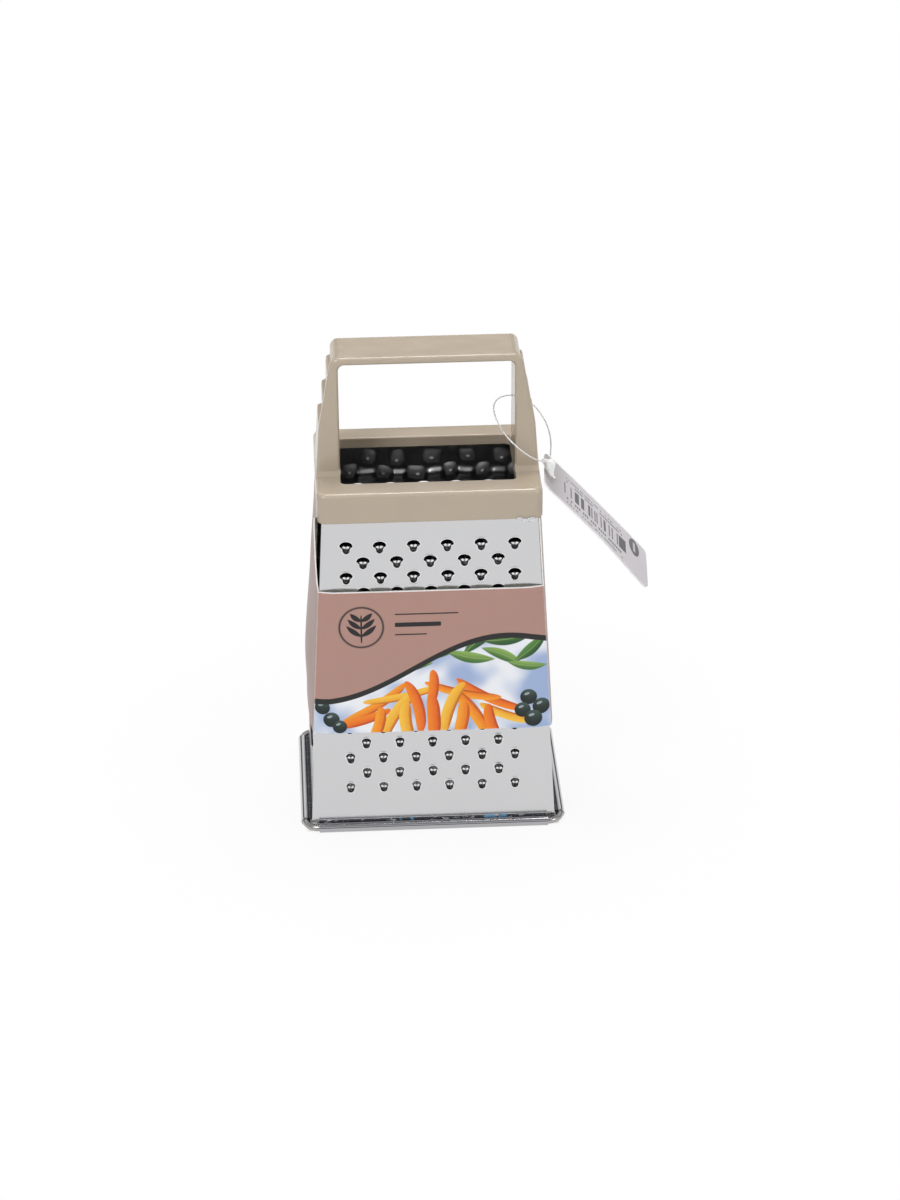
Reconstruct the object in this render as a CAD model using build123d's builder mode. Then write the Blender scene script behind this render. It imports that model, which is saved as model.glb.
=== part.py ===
from build123d import *

import os
from math import atan2, cos, degrees, pi, radians, sin, sqrt, tan

os.makedirs("parts", exist_ok=True)

# Box grater, in millimetres. The origin is the middle of the base, on the table, the face
# with the fine teeth looks along -Y and +Z is up.

# Steel body: four tapering sides, each rolled round one wire at its foot
base_width = 85.0  # over the rolled rim, left to right
base_depth = 64.0  # over the rolled rim, front to back
sheet = 0.4
side_lean = 2.97  # degrees that the left and right sides lean inwards
face_lean = 3.15  # degrees that the front and back lean inwards
rim_overhang = 3.55  # the rim stands this far outside the foot of each side
crease_height = 3.85  # the sheet turns outwards here
crease_radius = 1.0
wire_diameter = 2.2
wire_play = 0.02  # between the wire and the sheet rolled round it
seat_flat = 0.08  # the roll is pressed flat by this much where it stands
roll_turn = 280.0  # degrees of wire that the sheet covers
roll_cut_back = 5.8  # the rolls stop this far short of the rim's corners
rim_corner_radius = 6.0
corner_notch = 3.0  # the flat of each side reaches down to this height at its corners
seam = 0.03  # between sheets that meet at a corner
top_clearance = 0.2  # between the tops of the sides and the ledge
overrun = 5.0  # cutters pass this far beyond what they cut

# Teeth of the front: small hoods that open upwards, in staggered rows
tooth_pitch = 10.5
tooth_foot_margin = 11.0
tooth_top_margin = 8.0
tooth_side_margin = 7.0
tooth_radius = 1.15
tooth_wall = 0.3
tooth_sunk = 0.2
tooth_mouth_width = 3.7
tooth_mouth_height = 2.4
tooth_mouth_rise = 0.45

# Scoops of the back
scoop_row_step = 9.1
scoop_foot_margin = 9.4
scoop_top_margin = 8.0
scoop_radius = 2.6
scoop_wall = 0.35
scoop_sunk = 0.7
scoop_mouth_width = 5.4
scoop_mouth_height = 3.6
scoop_mouth_rise = 1.0
scoop_side_margin = 7.0

# Burrs of the right side
burr_pitch = 6.0
burr_row_step = 5.2
burr_foot_margin = 12.0
burr_top_margin = 3.0
burr_side_margin = 6.0
burr_foot_radius = 0.95
burr_taper = 22.0
burr_hole_radius = 0.45
burr_height = 0.55

# Slicing slots of the left side
slot_length = 26.0
slot_height = 2.6
slot_step = 23.0
slot_foot_margin = 17.0
slot_top_margin = 4.0
blade_height = 0.8
blade_wall = 0.3
blade_root = 0.8
blade_reach_share = 0.75

# Moulding: collar, ledge and arch handle
collar_side_wall = 1.217
collar_face_wall = 1.193
collar_height = 10.0
collar_corner = 3.0
cavity_corner = 0.6
collar_top_round = 1.6
collar_foot_round = 0.45
ledge_thickness = 3.4
cavity_clearance = 0.2  # between the body's sides and the collar's skirt, at its mouth
ledge_height = 117.3  # top of the ledge above the table
ledge_width = 8.15  # front edge of the collar to the opening
opening_inset = 7.8  # side of the collar to the opening
opening_corner = 1.6
opening_round = 0.5
handle_height = 156.0
bar_thickness = 2.5
bar_depth = 16.4
leg_foot_depth = 19.4
leg_shoulder_height = 133.0
leg_foot_inset = 0.3  # side of the collar to the side of a leg, at its foot
leg_shoulder_inset = 1.4
bar_inset = 5.6  # the same at the top of the handle
arch_corner = 3.2
window_corner = 1.9
arch_round = 1.0
foot_fillet = 1.3
arch_sunk = 1.2
rib_steps = 3
rib_top_height = 150.0
rib_spacing = 8.5
rib_depth = 1.47
rib_top_inset = 5.7  # side of the collar to a leg above its top rib
rib_round = 0.7
lip_place = 6.3  # the ribs start this far in front of the middle and run to the back
flank_share = 0.9

# Tongues on the front and back that snap into the ledge
tongue_width = 8.0
tongue_height = 2.0
tongue_spacing = 34.0
tongue_clearance = 0.15

# Printed card sleeve round the middle
card = 0.4
sleeve_foot = 35.1
sleeve_front_top = 83.6
sleeve_side_gap = 0.1  # between the card's corners and the body
sleeve_knee = 4.2  # the card stands clear of the teeth from here on, inwards of a corner
sleeve_front_gap = 1.15
sleeve_back_gap = 2.2
sleeve_side_knee_gap = 0.75
sleeve_left_bulge = 1.9
sleeve_right_bulge = 0.7
sleeve_collar_gap = 0.2
sleeve_level_shares = [0.0, 0.24, 0.67, 1.0]
sleeve_bulge_shares = [0.45, 1.0, 0.55, 0.05]

# Hang tag, in a plane that slopes down from its upper end
tag_length = 50.0
tag_width = 31.0
tag_thickness = 0.5
tag_corner = 3.0
tag_slope = 49.6  # degrees below level
tag_hole_diameter = 4.0
tag_hole_inset = 3.5
tag_gap = 1.6  # upper end of the tag to the side of the collar
tag_drop = 1.4  # upper end of the tag below the ledge
tag_shift = -3.5  # middle of the tag towards the front

# Lock of the loop
lock_length = 9.4
lock_width = 4.2
lock_thickness = 1.6
lock_round = 0.55
lock_lift = 1.42  # middle of the lock above the middle of the tag
lock_tip_width = 1.3
lock_turn = 74.5  # degrees from the tag's length, towards the front
lock_broad_run = 0.0  # middle of the broad end along the tag
lock_broad_shift = -1.6

# Clear filament
filament_diameter = 0.45
bend_share = 0.45
loop_route = [
    (2.5, -4.4, -0.2),
    (1.6, -7.9, 1.7),
    (-0.7, -11.4, 3.7),
    (-3.7, -12.6, 6.0),
    (-7.2, -12.4, 8.9),
    (-10.4, -10.3, 11.6),
    (-12.7, -6.6, 14.1),
    (-14.0, -1.6, 16.1),
    (-13.5, 3.6, 17.0),
    (-11.4, 8.4, 16.6),
    (-7.8, 12.1, 15.6),
    (-3.6, 13.6, 13.8),
    (0.3, 13.5, 10.6),
    (3.0, 13.0, 6.6),
    (4.7, 13.2, 2.0),
    (5.4, 13.7, -2.7),
    (5.1, 12.9, -7.1),
    (4.0, 9.6, -9.9),
    (2.8, 5.0, -10.4),
    (2.1, 0.6, -9.0),
    (2.5, -3.0, -6.7),
    (3.87, -3.7, -4.1),
    (3.1, -4.5, -1.0),
]

# Scrap of clear film caught under the collar
scrap_width = 5.6
scrap_height = 2.1
scrap_thickness = 0.16
scrap_wave = 0.25
scrap_gap = 0.12
scrap_place = 29.6
scrap_below = 1.2

# Sizes that follow from those above
roll_radius = wire_diameter / 2 + wire_play + sheet
roll_height = roll_radius - seat_flat
foot_half_width = base_width / 2 - rim_overhang
foot_half_depth = base_depth / 2 - rim_overhang
collar_foot = ledge_height - collar_height
ledge_under = ledge_height - ledge_thickness
front_out = (0, -1, 0)
back_out = (0, 1, 0)
left_out = (-1, 0, 0)
right_out = (1, 0, 0)


def half_width(height):
    """Outer half width of the steel body at a height."""
    return foot_half_width - (height - crease_height) * tan(radians(side_lean))


def half_depth(height):
    """Outer half depth of the steel body at a height."""
    return foot_half_depth - (height - crease_height) * tan(radians(face_lean))


# The moulding fits round the body at the collar's foot, and its widths follow from there
cavity_half_width = half_width(collar_foot) + cavity_clearance
cavity_half_depth = half_depth(collar_foot) + cavity_clearance
collar_width = 2 * (cavity_half_width + collar_side_wall)
collar_depth = 2 * (cavity_half_depth + collar_face_wall)
opening_width = collar_width - 2 * opening_inset
leg_foot_width = collar_width - 2 * leg_foot_inset
leg_shoulder_width = collar_width - 2 * leg_shoulder_inset
bar_width = collar_width - 2 * bar_inset
rib_top_width = collar_width - 2 * rib_top_inset


def section_plane(outward):
    """Upright plane whose x axis points out of one side of the body."""
    return Plane(origin=(0, 0, 0), x_dir=outward, z_dir=Vector(*outward).cross(Vector(0, 0, 1)))


def sheet_plane(outward, foot_half, lean):
    """Plane on the outer surface of one side, its y axis up the sheet from the crease."""
    out = Vector(*outward)
    normal = out * cos(radians(lean)) + Vector(0, 0, 1) * sin(radians(lean))
    origin = out * foot_half + Vector(0, 0, crease_height)
    return Plane(origin=origin, x_dir=Vector(0, 0, 1).cross(out), z_dir=normal)


def rolled_outline(foot_half, rim_half, lean):
    """Draws the section of one side: a sloping sheet, turned out and rolled round the wire."""
    up = Vector(-sin(radians(lean)), cos(radians(lean)))
    out = Vector(cos(radians(lean)), sin(radians(lean)))
    foot = Vector(foot_half, crease_height)
    roll_middle = Vector(rim_half - roll_radius, roll_height)
    roll_mid_radius = roll_radius - sheet / 2
    start = foot - out * (sheet / 2) + out * crease_radius - roll_middle
    along = start.dot(up)
    reach = roll_mid_radius + crease_radius
    rise = -along + sqrt(along**2 - start.dot(start) + reach**2)
    crease_middle = roll_middle + start + up * rise
    between = crease_middle - roll_middle
    turn = degrees(atan2(between.Y, between.X))
    crease_start = 180 + lean
    crease_arc = turn + 180 - crease_start
    inner_crease = crease_radius + sheet / 2
    outer_crease = crease_radius - sheet / 2
    top = (ledge_under - top_clearance - crease_height) / cos(radians(lean))
    top_outer = foot + up * top
    top_inner = top_outer - out * sheet
    Line(top_outer, crease_middle - out * outer_crease)
    CenterArc(crease_middle, outer_crease, crease_start, crease_arc)
    outer_roll = CenterArc(roll_middle, roll_radius, turn, -roll_turn)
    inner_roll = CenterArc(roll_middle, roll_radius - sheet, turn, -roll_turn)
    Line(outer_roll @ 1, inner_roll @ 1)
    CenterArc(crease_middle, inner_crease, crease_start, crease_arc)
    Line(crease_middle - out * inner_crease, top_inner)
    Line(top_inner, top_outer)


def side_blank(half_at, inset, roll_half):
    """Draws the front view of one side: a tapering sheet with its roll cut back at the corners."""
    low = half_at(corner_notch) - inset
    high = half_at(ledge_height) - inset
    points = [
        (-roll_half, 0),
        (roll_half, 0),
        (roll_half, corner_notch),
        (low, corner_notch),
        (high, ledge_height),
        (-high, ledge_height),
        (-low, corner_notch),
        (-roll_half, corner_notch),
    ]
    Polyline(*points, close=True)


def staggered(pitch, row_step, foot, top, half_span):
    """Places in staggered rows: x across the side and y up the sheet from its crease."""
    rows = int((top - foot) / row_step) + 1
    columns = int(2 * half_span / pitch) + 1
    places = []
    for row in range(rows):
        count = columns if row % 2 == 0 else columns - 1
        for column in range(count):
            places.append(((column - (count - 1) / 2) * pitch, foot + row * row_step))
    return places


def hood(radius):
    """A quarter ball, standing on the sheet, whose flat side looks towards the top."""
    ball = Sphere(radius, arc_size1=0, arc_size2=90, arc_size3=180, align=None, mode=Mode.PRIVATE)
    return Rot(0, 0, 180) * ball


def raised_places(plane, places, height):
    """Locations on a side of the body, at a height above its outer surface."""
    return [plane.location * Location((x, y, height)) for x, y in places]


front_roll_half = base_width / 2 - roll_cut_back
side_roll_half = base_depth / 2 - roll_cut_back
face_top = (ledge_under - top_clearance - crease_height) / cos(radians(face_lean))
side_top = (ledge_under - top_clearance - crease_height) / cos(radians(side_lean))
face_bare = (collar_foot - crease_height) / cos(radians(face_lean))
side_bare = (collar_foot - crease_height) / cos(radians(side_lean))
tongue_places = [(side * tongue_spacing / 2, face_top) for side in (-1, 1)]

# Front: the fine shredding teeth
front_sheet = sheet_plane(front_out, foot_half_depth, face_lean)
tooth_span = half_width(collar_foot) - tooth_side_margin
tooth_places = staggered(
    tooth_pitch, tooth_pitch / 2, tooth_foot_margin, face_bare - tooth_top_margin, tooth_span
)

with BuildPart() as front_panel:
    with BuildSketch(section_plane(front_out)):
        with BuildLine():
            rolled_outline(foot_half_depth, base_depth / 2, face_lean)
        make_face()
    extrude(amount=base_width / 2, both=True)
    with BuildSketch(Plane.XZ):
        with BuildLine():
            side_blank(half_width, 0, front_roll_half)
        make_face()
    extrude(amount=base_depth, both=True, mode=Mode.INTERSECT)
    with BuildSketch(front_sheet):
        with Locations(*tongue_places):
            Rectangle(tongue_width, tongue_height, align=(Align.CENTER, Align.MIN))
    extrude(amount=-sheet)
    add([spot * hood(tooth_radius) for spot in raised_places(front_sheet, tooth_places, -tooth_sunk)])
    with BuildSketch(front_sheet):
        with Locations(*[(x, y + tooth_mouth_rise) for x, y in tooth_places]):
            Ellipse(tooth_mouth_width / 2, tooth_mouth_height / 2)
    extrude(amount=-sheet - tooth_sunk, mode=Mode.SUBTRACT)
    with Locations(*raised_places(front_sheet, tooth_places, -tooth_sunk)):
        Sphere(tooth_radius - tooth_wall, mode=Mode.SUBTRACT)
front_panel.part.label = "front_panel"
export_step(front_panel.part, "parts/front_panel.step")

# Back: the coarse scoops
back_sheet = sheet_plane(back_out, foot_half_depth, face_lean)
scoop_span = half_width(collar_foot) - scoop_side_margin
scoop_places = staggered(
    tooth_pitch, scoop_row_step, scoop_foot_margin, face_bare - scoop_top_margin, scoop_span
)

with BuildPart() as back_panel:
    with BuildSketch(section_plane(back_out)):
        with BuildLine():
            rolled_outline(foot_half_depth, base_depth / 2, face_lean)
        make_face()
    extrude(amount=base_width / 2, both=True)
    with BuildSketch(Plane.XZ):
        with BuildLine():
            side_blank(half_width, 0, front_roll_half)
        make_face()
    extrude(amount=base_depth, both=True, mode=Mode.INTERSECT)
    with BuildSketch(back_sheet):
        with Locations(*tongue_places):
            Rectangle(tongue_width, tongue_height, align=(Align.CENTER, Align.MIN))
    extrude(amount=-sheet)
    add([spot * hood(scoop_radius) for spot in raised_places(back_sheet, scoop_places, -scoop_sunk)])
    with BuildSketch(back_sheet):
        with Locations(*[(x, y + scoop_mouth_rise) for x, y in scoop_places]):
            Ellipse(scoop_mouth_width / 2, scoop_mouth_height / 2)
    extrude(amount=-sheet - scoop_sunk, mode=Mode.SUBTRACT)
    with Locations(*raised_places(back_sheet, scoop_places, -scoop_sunk)):
        Sphere(scoop_radius - scoop_wall, mode=Mode.SUBTRACT)
back_panel.part.label = "back_panel"
export_step(back_panel.part, "parts/back_panel.step")

# Right side: the fine burrs
right_sheet = sheet_plane(right_out, foot_half_width, side_lean)
burr_span = half_depth(collar_foot) - burr_side_margin
burr_places = staggered(
    burr_pitch, burr_row_step, burr_foot_margin, side_bare - burr_top_margin, burr_span
)

with BuildPart() as right_panel:
    with BuildSketch(section_plane(right_out)):
        with BuildLine():
            rolled_outline(foot_half_width, base_width / 2, side_lean)
        make_face()
    extrude(amount=base_depth / 2, both=True)
    with BuildSketch(Plane.YZ):
        with BuildLine():
            side_blank(half_depth, sheet + seam, side_roll_half)
        make_face()
    extrude(amount=base_width, both=True, mode=Mode.INTERSECT)
    with BuildSketch(right_sheet):
        with Locations(*burr_places):
            Circle(burr_foot_radius)
    extrude(amount=burr_height, taper=burr_taper)
    with BuildSketch(right_sheet.offset(burr_height)):
        with Locations(*burr_places):
            Circle(burr_hole_radius)
    extrude(amount=-burr_height - sheet * 2, mode=Mode.SUBTRACT)
right_panel.part.label = "right_panel"
export_step(right_panel.part, "parts/right_panel.step")

# Left side: the slicing slots, each with a raised blade over it
left_sheet = sheet_plane(left_out, foot_half_width, side_lean)
slot_count = int((side_bare - slot_top_margin - slot_foot_margin) / slot_step) + 1
slot_places = [(0, slot_foot_margin + index * slot_step) for index in range(slot_count)]
blade_reach = slot_height * blade_reach_share

with BuildPart() as left_panel:
    with BuildSketch(section_plane(left_out)):
        with BuildLine():
            rolled_outline(foot_half_width, base_width / 2, side_lean)
        make_face()
    extrude(amount=base_depth / 2, both=True)
    with BuildSketch(Plane.YZ):
        with BuildLine():
            side_blank(half_depth, sheet + seam, side_roll_half)
        make_face()
    extrude(amount=base_width, both=True, mode=Mode.INTERSECT)
    with BuildSketch(left_sheet):
        with Locations(*slot_places):
            SlotOverall(slot_length, slot_height)
    extrude(amount=-sheet * 2, mode=Mode.SUBTRACT)
    blade_plane = Plane(
        origin=left_sheet.origin - left_sheet.x_dir * (slot_length / 2 - slot_height),
        x_dir=left_sheet.y_dir,
        z_dir=left_sheet.x_dir,
    )
    with BuildSketch(blade_plane):
        for _, rise in slot_places:
            with BuildLine():
                root = (rise - slot_height / 2 - blade_root, 0)
                edge = (rise + blade_reach - slot_height / 2, blade_height)
                Polyline(
                    (root[0], root[1] - sheet / 2),
                    (root[0] + blade_root * 2, root[1] - sheet / 2),
                    (edge[0], edge[1] - blade_wall),
                    edge,
                    (root[0], root[1]),
                    close=True,
                )
            make_face()
    extrude(amount=slot_length - slot_height * 2)
left_panel.part.label = "left_panel"
export_step(left_panel.part, "parts/left_panel.step")

# Wire in the rolled rim, bare at its four corners
wire_half_width = base_width / 2 - roll_radius
wire_half_depth = base_depth / 2 - roll_radius
wire_corner = rim_corner_radius - roll_radius

with BuildPart() as base_wire:
    with BuildLine(Plane.XY.offset(roll_height)) as wire_line:
        wire_points = [
            (wire_half_width, -wire_half_depth),
            (wire_half_width, wire_half_depth),
            (-wire_half_width, wire_half_depth),
            (-wire_half_width, -wire_half_depth),
        ]
        FilletPolyline(*wire_points, radius=wire_corner, close=True)
    with BuildSketch(Plane(origin=wire_line.line @ 0, z_dir=wire_line.line % 0)):
        Circle(wire_diameter / 2)
    sweep()
base_wire.part.label = "base_wire"
export_step(base_wire.part, "parts/base_wire.step")

# Moulding: a collar with a ledge, and the arch handle that grows out of it
rib_last = rib_top_width / 2 + rib_steps * rib_depth - seam
opening_half_depth = collar_depth / 2 - ledge_width
window_half = opening_width / 2
window_top = handle_height - bar_thickness
foot_level = ledge_height - arch_sunk


def arch_outline():
    """Draws the arch from the front, with the lip's outline on its outer side."""
    outer = [
        (leg_foot_width / 2, foot_level),
        (leg_foot_width / 2, ledge_height),
        (leg_shoulder_width / 2, leg_shoulder_height),
        (bar_width / 2, handle_height),
    ]
    mirrored = [(-x, z) for x, z in reversed(outer)]
    inner = [
        (-window_half, foot_level),
        (-window_half, window_top),
        (window_half, window_top),
        (window_half, foot_level),
    ]
    Polyline(*outer, *mirrored, *inner, close=True)


def rib_outline(side):
    """Draws what is cut from the outer side of one leg, a stair of ribs for the fingers."""
    far = base_width
    top_turn = rib_top_width / 2 - arch_corner
    stair = []
    for step in range(rib_steps):
        level = rib_top_height - step * rib_spacing
        stair.append((rib_top_width / 2 + step * rib_depth, level))
        stair.append((rib_top_width / 2 + (step + 1) * rib_depth, level))
    top = (rib_top_width / 2, handle_height - arch_corner)
    steps = [(side * x, z) for x, z in [top] + stair]
    closing = [(side * x, z) for x, z in [(far, stair[-1][1]), (far, handle_height + overrun)]]
    Polyline(*steps, *closing, (side * top_turn, handle_height + overrun), (side * top_turn, handle_height))
    RadiusArc((side * top_turn, handle_height), steps[0], side * arch_corner)


with BuildPart() as arch:
    with BuildSketch(Plane.XZ) as arch_face:
        with BuildLine():
            arch_outline()
        make_face()
        top_corners = arch_face.vertices().group_by(Axis.Y)[-1]
        fillet(top_corners, arch_corner)
        window_corners = [
            corner for corner in arch_face.vertices()
            if abs(corner.Y - window_top) < arch_round and abs(abs(corner.X) - window_half) < arch_round
        ]
        fillet(window_corners, window_corner)
    extrude(amount=collar_depth, both=True)
    with BuildSketch(Plane.YZ) as arch_side:
        with BuildLine():
            foot = leg_foot_depth / 2
            bar = bar_depth / 2
            Polyline(
                (-foot - foot_fillet, foot_level),
                (-foot - foot_fillet, ledge_height),
                (-foot, ledge_height + foot_fillet),
                (-bar, handle_height),
                (bar, handle_height),
                (foot, ledge_height + foot_fillet),
                (foot + foot_fillet, ledge_height),
                (foot + foot_fillet, foot_level),
                close=True,
            )
        make_face()
    extrude(amount=base_width, both=True, mode=Mode.INTERSECT)
    flanks = arch.faces().filter_by(lambda face: abs(face.normal_at().Y) > flank_share)
    rims = flanks.edges().filter_by(lambda edge: edge.center().Z > ledge_height + foot_fillet)
    fillet(rims, arch_round)
    for side in (-1, 1):
        with BuildSketch(Plane.XZ.offset(lip_place)) as rib_face:
            with BuildLine():
                rib_outline(side)
            make_face()
            stair = rib_face.vertices().filter_by(
                lambda corner: corner.Y < rib_top_height + seam and abs(corner.X) < rib_last
            )
            fillet(stair, rib_round)
        extrude(amount=-collar_depth, mode=Mode.SUBTRACT)

with BuildPart() as handle_moulding:
    with BuildSketch(Plane.XY.offset(collar_foot)):
        RectangleRounded(collar_width, collar_depth, collar_corner)
    extrude(amount=collar_height)
    collar_top = handle_moulding.faces().sort_by(Axis.Z)[-1]
    fillet(collar_top.edges(), collar_top_round)
    collar_under = handle_moulding.faces().sort_by(Axis.Z)[0]
    fillet(collar_under.edges(), collar_foot_round)
    with BuildSketch(Plane.XY.offset(collar_foot - overrun)):
        RectangleRounded(cavity_half_width * 2, cavity_half_depth * 2, cavity_corner)
    extrude(amount=ledge_under - collar_foot + overrun, mode=Mode.SUBTRACT)
    with BuildSketch(Plane.XY.offset(ledge_under - overrun)):
        RectangleRounded(opening_width, opening_half_depth * 2, opening_corner)
    extrude(amount=overrun * 2 + ledge_thickness, mode=Mode.SUBTRACT)
    mouth = handle_moulding.edges().filter_by(
        lambda edge: abs(edge.center().Z - ledge_height) < seam
        and abs(edge.center().X) <= window_half + seam
        and abs(edge.center().Y) <= opening_half_depth + seam
    )
    fillet(mouth, opening_round)
    add(arch.part)
    for plane in (front_sheet, back_sheet):
        with BuildSketch(plane.offset(tongue_clearance)):
            with Locations(*[(x, y - overrun / 2) for x, y in tongue_places]):
                slot_height_over = tongue_height + overrun / 2 + tongue_clearance
                slot_width_over = tongue_width + tongue_clearance * 2
                Rectangle(slot_width_over, slot_height_over, align=(Align.CENTER, Align.MIN))
        extrude(amount=-sheet - tongue_clearance * 2, mode=Mode.SUBTRACT)
handle_moulding.part.label = "handle_moulding"
export_step(handle_moulding.part, "parts/handle_moulding.step")

# Printed card sleeve: a loft between sections that follow the body, bowed out on each side
sleeve_top = collar_foot - sleeve_collar_gap
sleeve_levels = [
    sleeve_foot + (sleeve_top - sleeve_foot) * share for share in sleeve_level_shares
]


def sleeve_section(height, share, card_out):
    """Draws the sleeve's section at a height, card_out outside its inner surface."""
    corner_x = half_width(height) + sleeve_side_gap + card_out
    corner_y = half_depth(height) + sleeve_side_gap + card_out
    knee_x = half_width(height) - sleeve_knee
    knee_y = half_depth(height) - sleeve_knee
    front = half_depth(height) + sleeve_front_gap + card_out
    back = half_depth(height) + sleeve_back_gap + card_out
    right = half_width(height) + sleeve_side_knee_gap + card_out
    left = half_width(height) + sleeve_side_knee_gap + card_out
    right_most = right + sleeve_right_bulge * share
    left_most = left + sleeve_left_bulge * share
    Polyline((-corner_x, -corner_y), (-knee_x, -front), (knee_x, -front), (corner_x, -corner_y))
    Line((corner_x, -corner_y), (right, -knee_y))
    ThreePointArc((right, -knee_y), (right_most, 0), (right, knee_y))
    Line((right, knee_y), (corner_x, corner_y))
    Polyline((corner_x, corner_y), (knee_x, back), (-knee_x, back), (-corner_x, corner_y))
    Line((-corner_x, corner_y), (-left, knee_y))
    ThreePointArc((-left, knee_y), (-left_most, 0), (-left, -knee_y))
    Line((-left, -knee_y), (-corner_x, -corner_y))


with BuildPart() as card_sleeve:
    for level, share in zip(sleeve_levels, sleeve_bulge_shares):
        with BuildSketch(Plane.XY.offset(level)):
            with BuildLine():
                sleeve_section(level, share, card)
            make_face()
    loft()
    for level, share in zip(sleeve_levels, sleeve_bulge_shares):
        with BuildSketch(Plane.XY.offset(level)):
            with BuildLine():
                sleeve_section(level, share, 0)
            make_face()
    loft(mode=Mode.SUBTRACT)
    with BuildSketch(Plane.XZ):
        with BuildLine():
            low = half_width(sleeve_front_top) - card
            high = half_width(ledge_height) - card
            notch = [
                (-low, sleeve_front_top),
                (low, sleeve_front_top),
                (high, ledge_height),
                (-high, ledge_height),
            ]
            Polyline(*notch, close=True)
        make_face()
    extrude(amount=base_depth, both=True, mode=Mode.SUBTRACT)
card_sleeve.part.label = "card_sleeve"
export_step(card_sleeve.part, "parts/card_sleeve.step")

# Hang tag: a card with rounded corners and a punched hole
tag_run = Vector(cos(radians(tag_slope)), 0, -sin(radians(tag_slope)))
tag_up = Vector(sin(radians(tag_slope)), 0, cos(radians(tag_slope)))
tag_start = Vector(collar_width / 2 + tag_gap, tag_shift, ledge_height - tag_drop)
tag_plane = Plane(origin=tag_start, x_dir=tag_run, z_dir=tag_up)

with BuildPart() as hang_tag:
    with BuildSketch(tag_plane.offset(-tag_thickness / 2)):
        with Locations((tag_length / 2, 0)):
            RectangleRounded(tag_length, tag_width, tag_corner)
        with Locations((tag_hole_inset, 0)):
            Circle(tag_hole_diameter / 2, mode=Mode.SUBTRACT)
    extrude(amount=tag_thickness)
hang_tag.part.label = "hang_tag"
export_step(hang_tag.part, "parts/hang_tag.step")

# Lock of the loop: a flat drop that lies just above the tag
lock_plane = tag_plane.offset(lock_lift)
lock_broad = Vector(lock_broad_run, lock_broad_shift)
lock_along = Vector(cos(radians(lock_turn)), -sin(radians(lock_turn)))
lock_tip = lock_broad + lock_along * (lock_length - lock_width / 2 - lock_tip_width / 2)

with BuildPart() as loop_lock:
    with BuildSketch(lock_plane.offset(-lock_thickness / 2)):
        with Locations(lock_broad):
            Circle(lock_width / 2)
        with Locations(lock_tip):
            Circle(lock_tip_width / 2)
        make_hull()
    extrude(amount=lock_thickness)
    fillet(loop_lock.faces().filter_by(lambda face: abs(face.normal_at().dot(tag_up)) > flank_share).edges(), lock_round)
loop_lock.part.label = "loop_lock"
export_step(loop_lock.part, "parts/loop_lock.step")

# Clear filament: from the lock over the handle, round its right leg, and back up through
# the tag's hole, given from the corner where the collar's right side meets the ledge
loop_start = lock_plane.from_local_coords(lock_broad)
route = [Vector(collar_width / 2, 0, ledge_height) + Vector(*step) for step in loop_route]
radii = []
for before, corner, after in zip(route, route[1:], route[2:]):
    first = corner - before
    second = after - corner
    shorter = min(first.length, second.length)
    half_turn = radians(first.get_angle(second) / 2)
    radii.append(bend_share * shorter / tan(half_turn))
print("filament radii", [round(radius, 2) for radius in radii])

with BuildPart() as tag_loop:
    with BuildLine() as loop_line:
        FilletPolyline(*route, radius=radii)
    with BuildSketch(Plane(origin=loop_line.line @ 0, z_dir=loop_line.line % 0)):
        Circle(filament_diameter / 2)
    sweep()
loop_length = sum(edge.length for edge in loop_line.edges())
expected = loop_length * pi * filament_diameter**2 / 4
print("filament volume", round(tag_loop.part.volume, 3), "of", round(expected, 3))
print("filament length", round(loop_length, 1))
tag_loop.part.label = "tag_loop"
export_step(tag_loop.part, "parts/tag_loop.step")

# Scrap of film: a thin wavy strip against the collar's lower edge
with BuildPart() as film_scrap:
    with BuildSketch(Plane.XY.offset(collar_foot - scrap_below)):
        with BuildLine():
            near = -collar_depth / 2 - scrap_gap
            left_end = scrap_place - scrap_width / 2
            right_end = scrap_place + scrap_width / 2
            back_line = Spline(
                (left_end, near),
                (scrap_place - scrap_width / 6, near - scrap_wave),
                (scrap_place + scrap_width / 8, near),
                (right_end, near - scrap_wave / 2),
            )
            front_line = Spline(
                (left_end, near - scrap_thickness),
                (scrap_place - scrap_width / 6, near - scrap_wave - scrap_thickness),
                (scrap_place + scrap_width / 8, near - scrap_thickness),
                (right_end, near - scrap_wave / 2 - scrap_thickness),
            )
            Line(back_line @ 0, front_line @ 0)
            Line(back_line @ 1, front_line @ 1)
        make_face()
    extrude(amount=scrap_height)
film_scrap.part.label = "film_scrap"
export_step(film_scrap.part, "parts/film_scrap.step")
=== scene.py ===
import math

import bmesh
import bpy
from mathutils import Matrix, Vector


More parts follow.
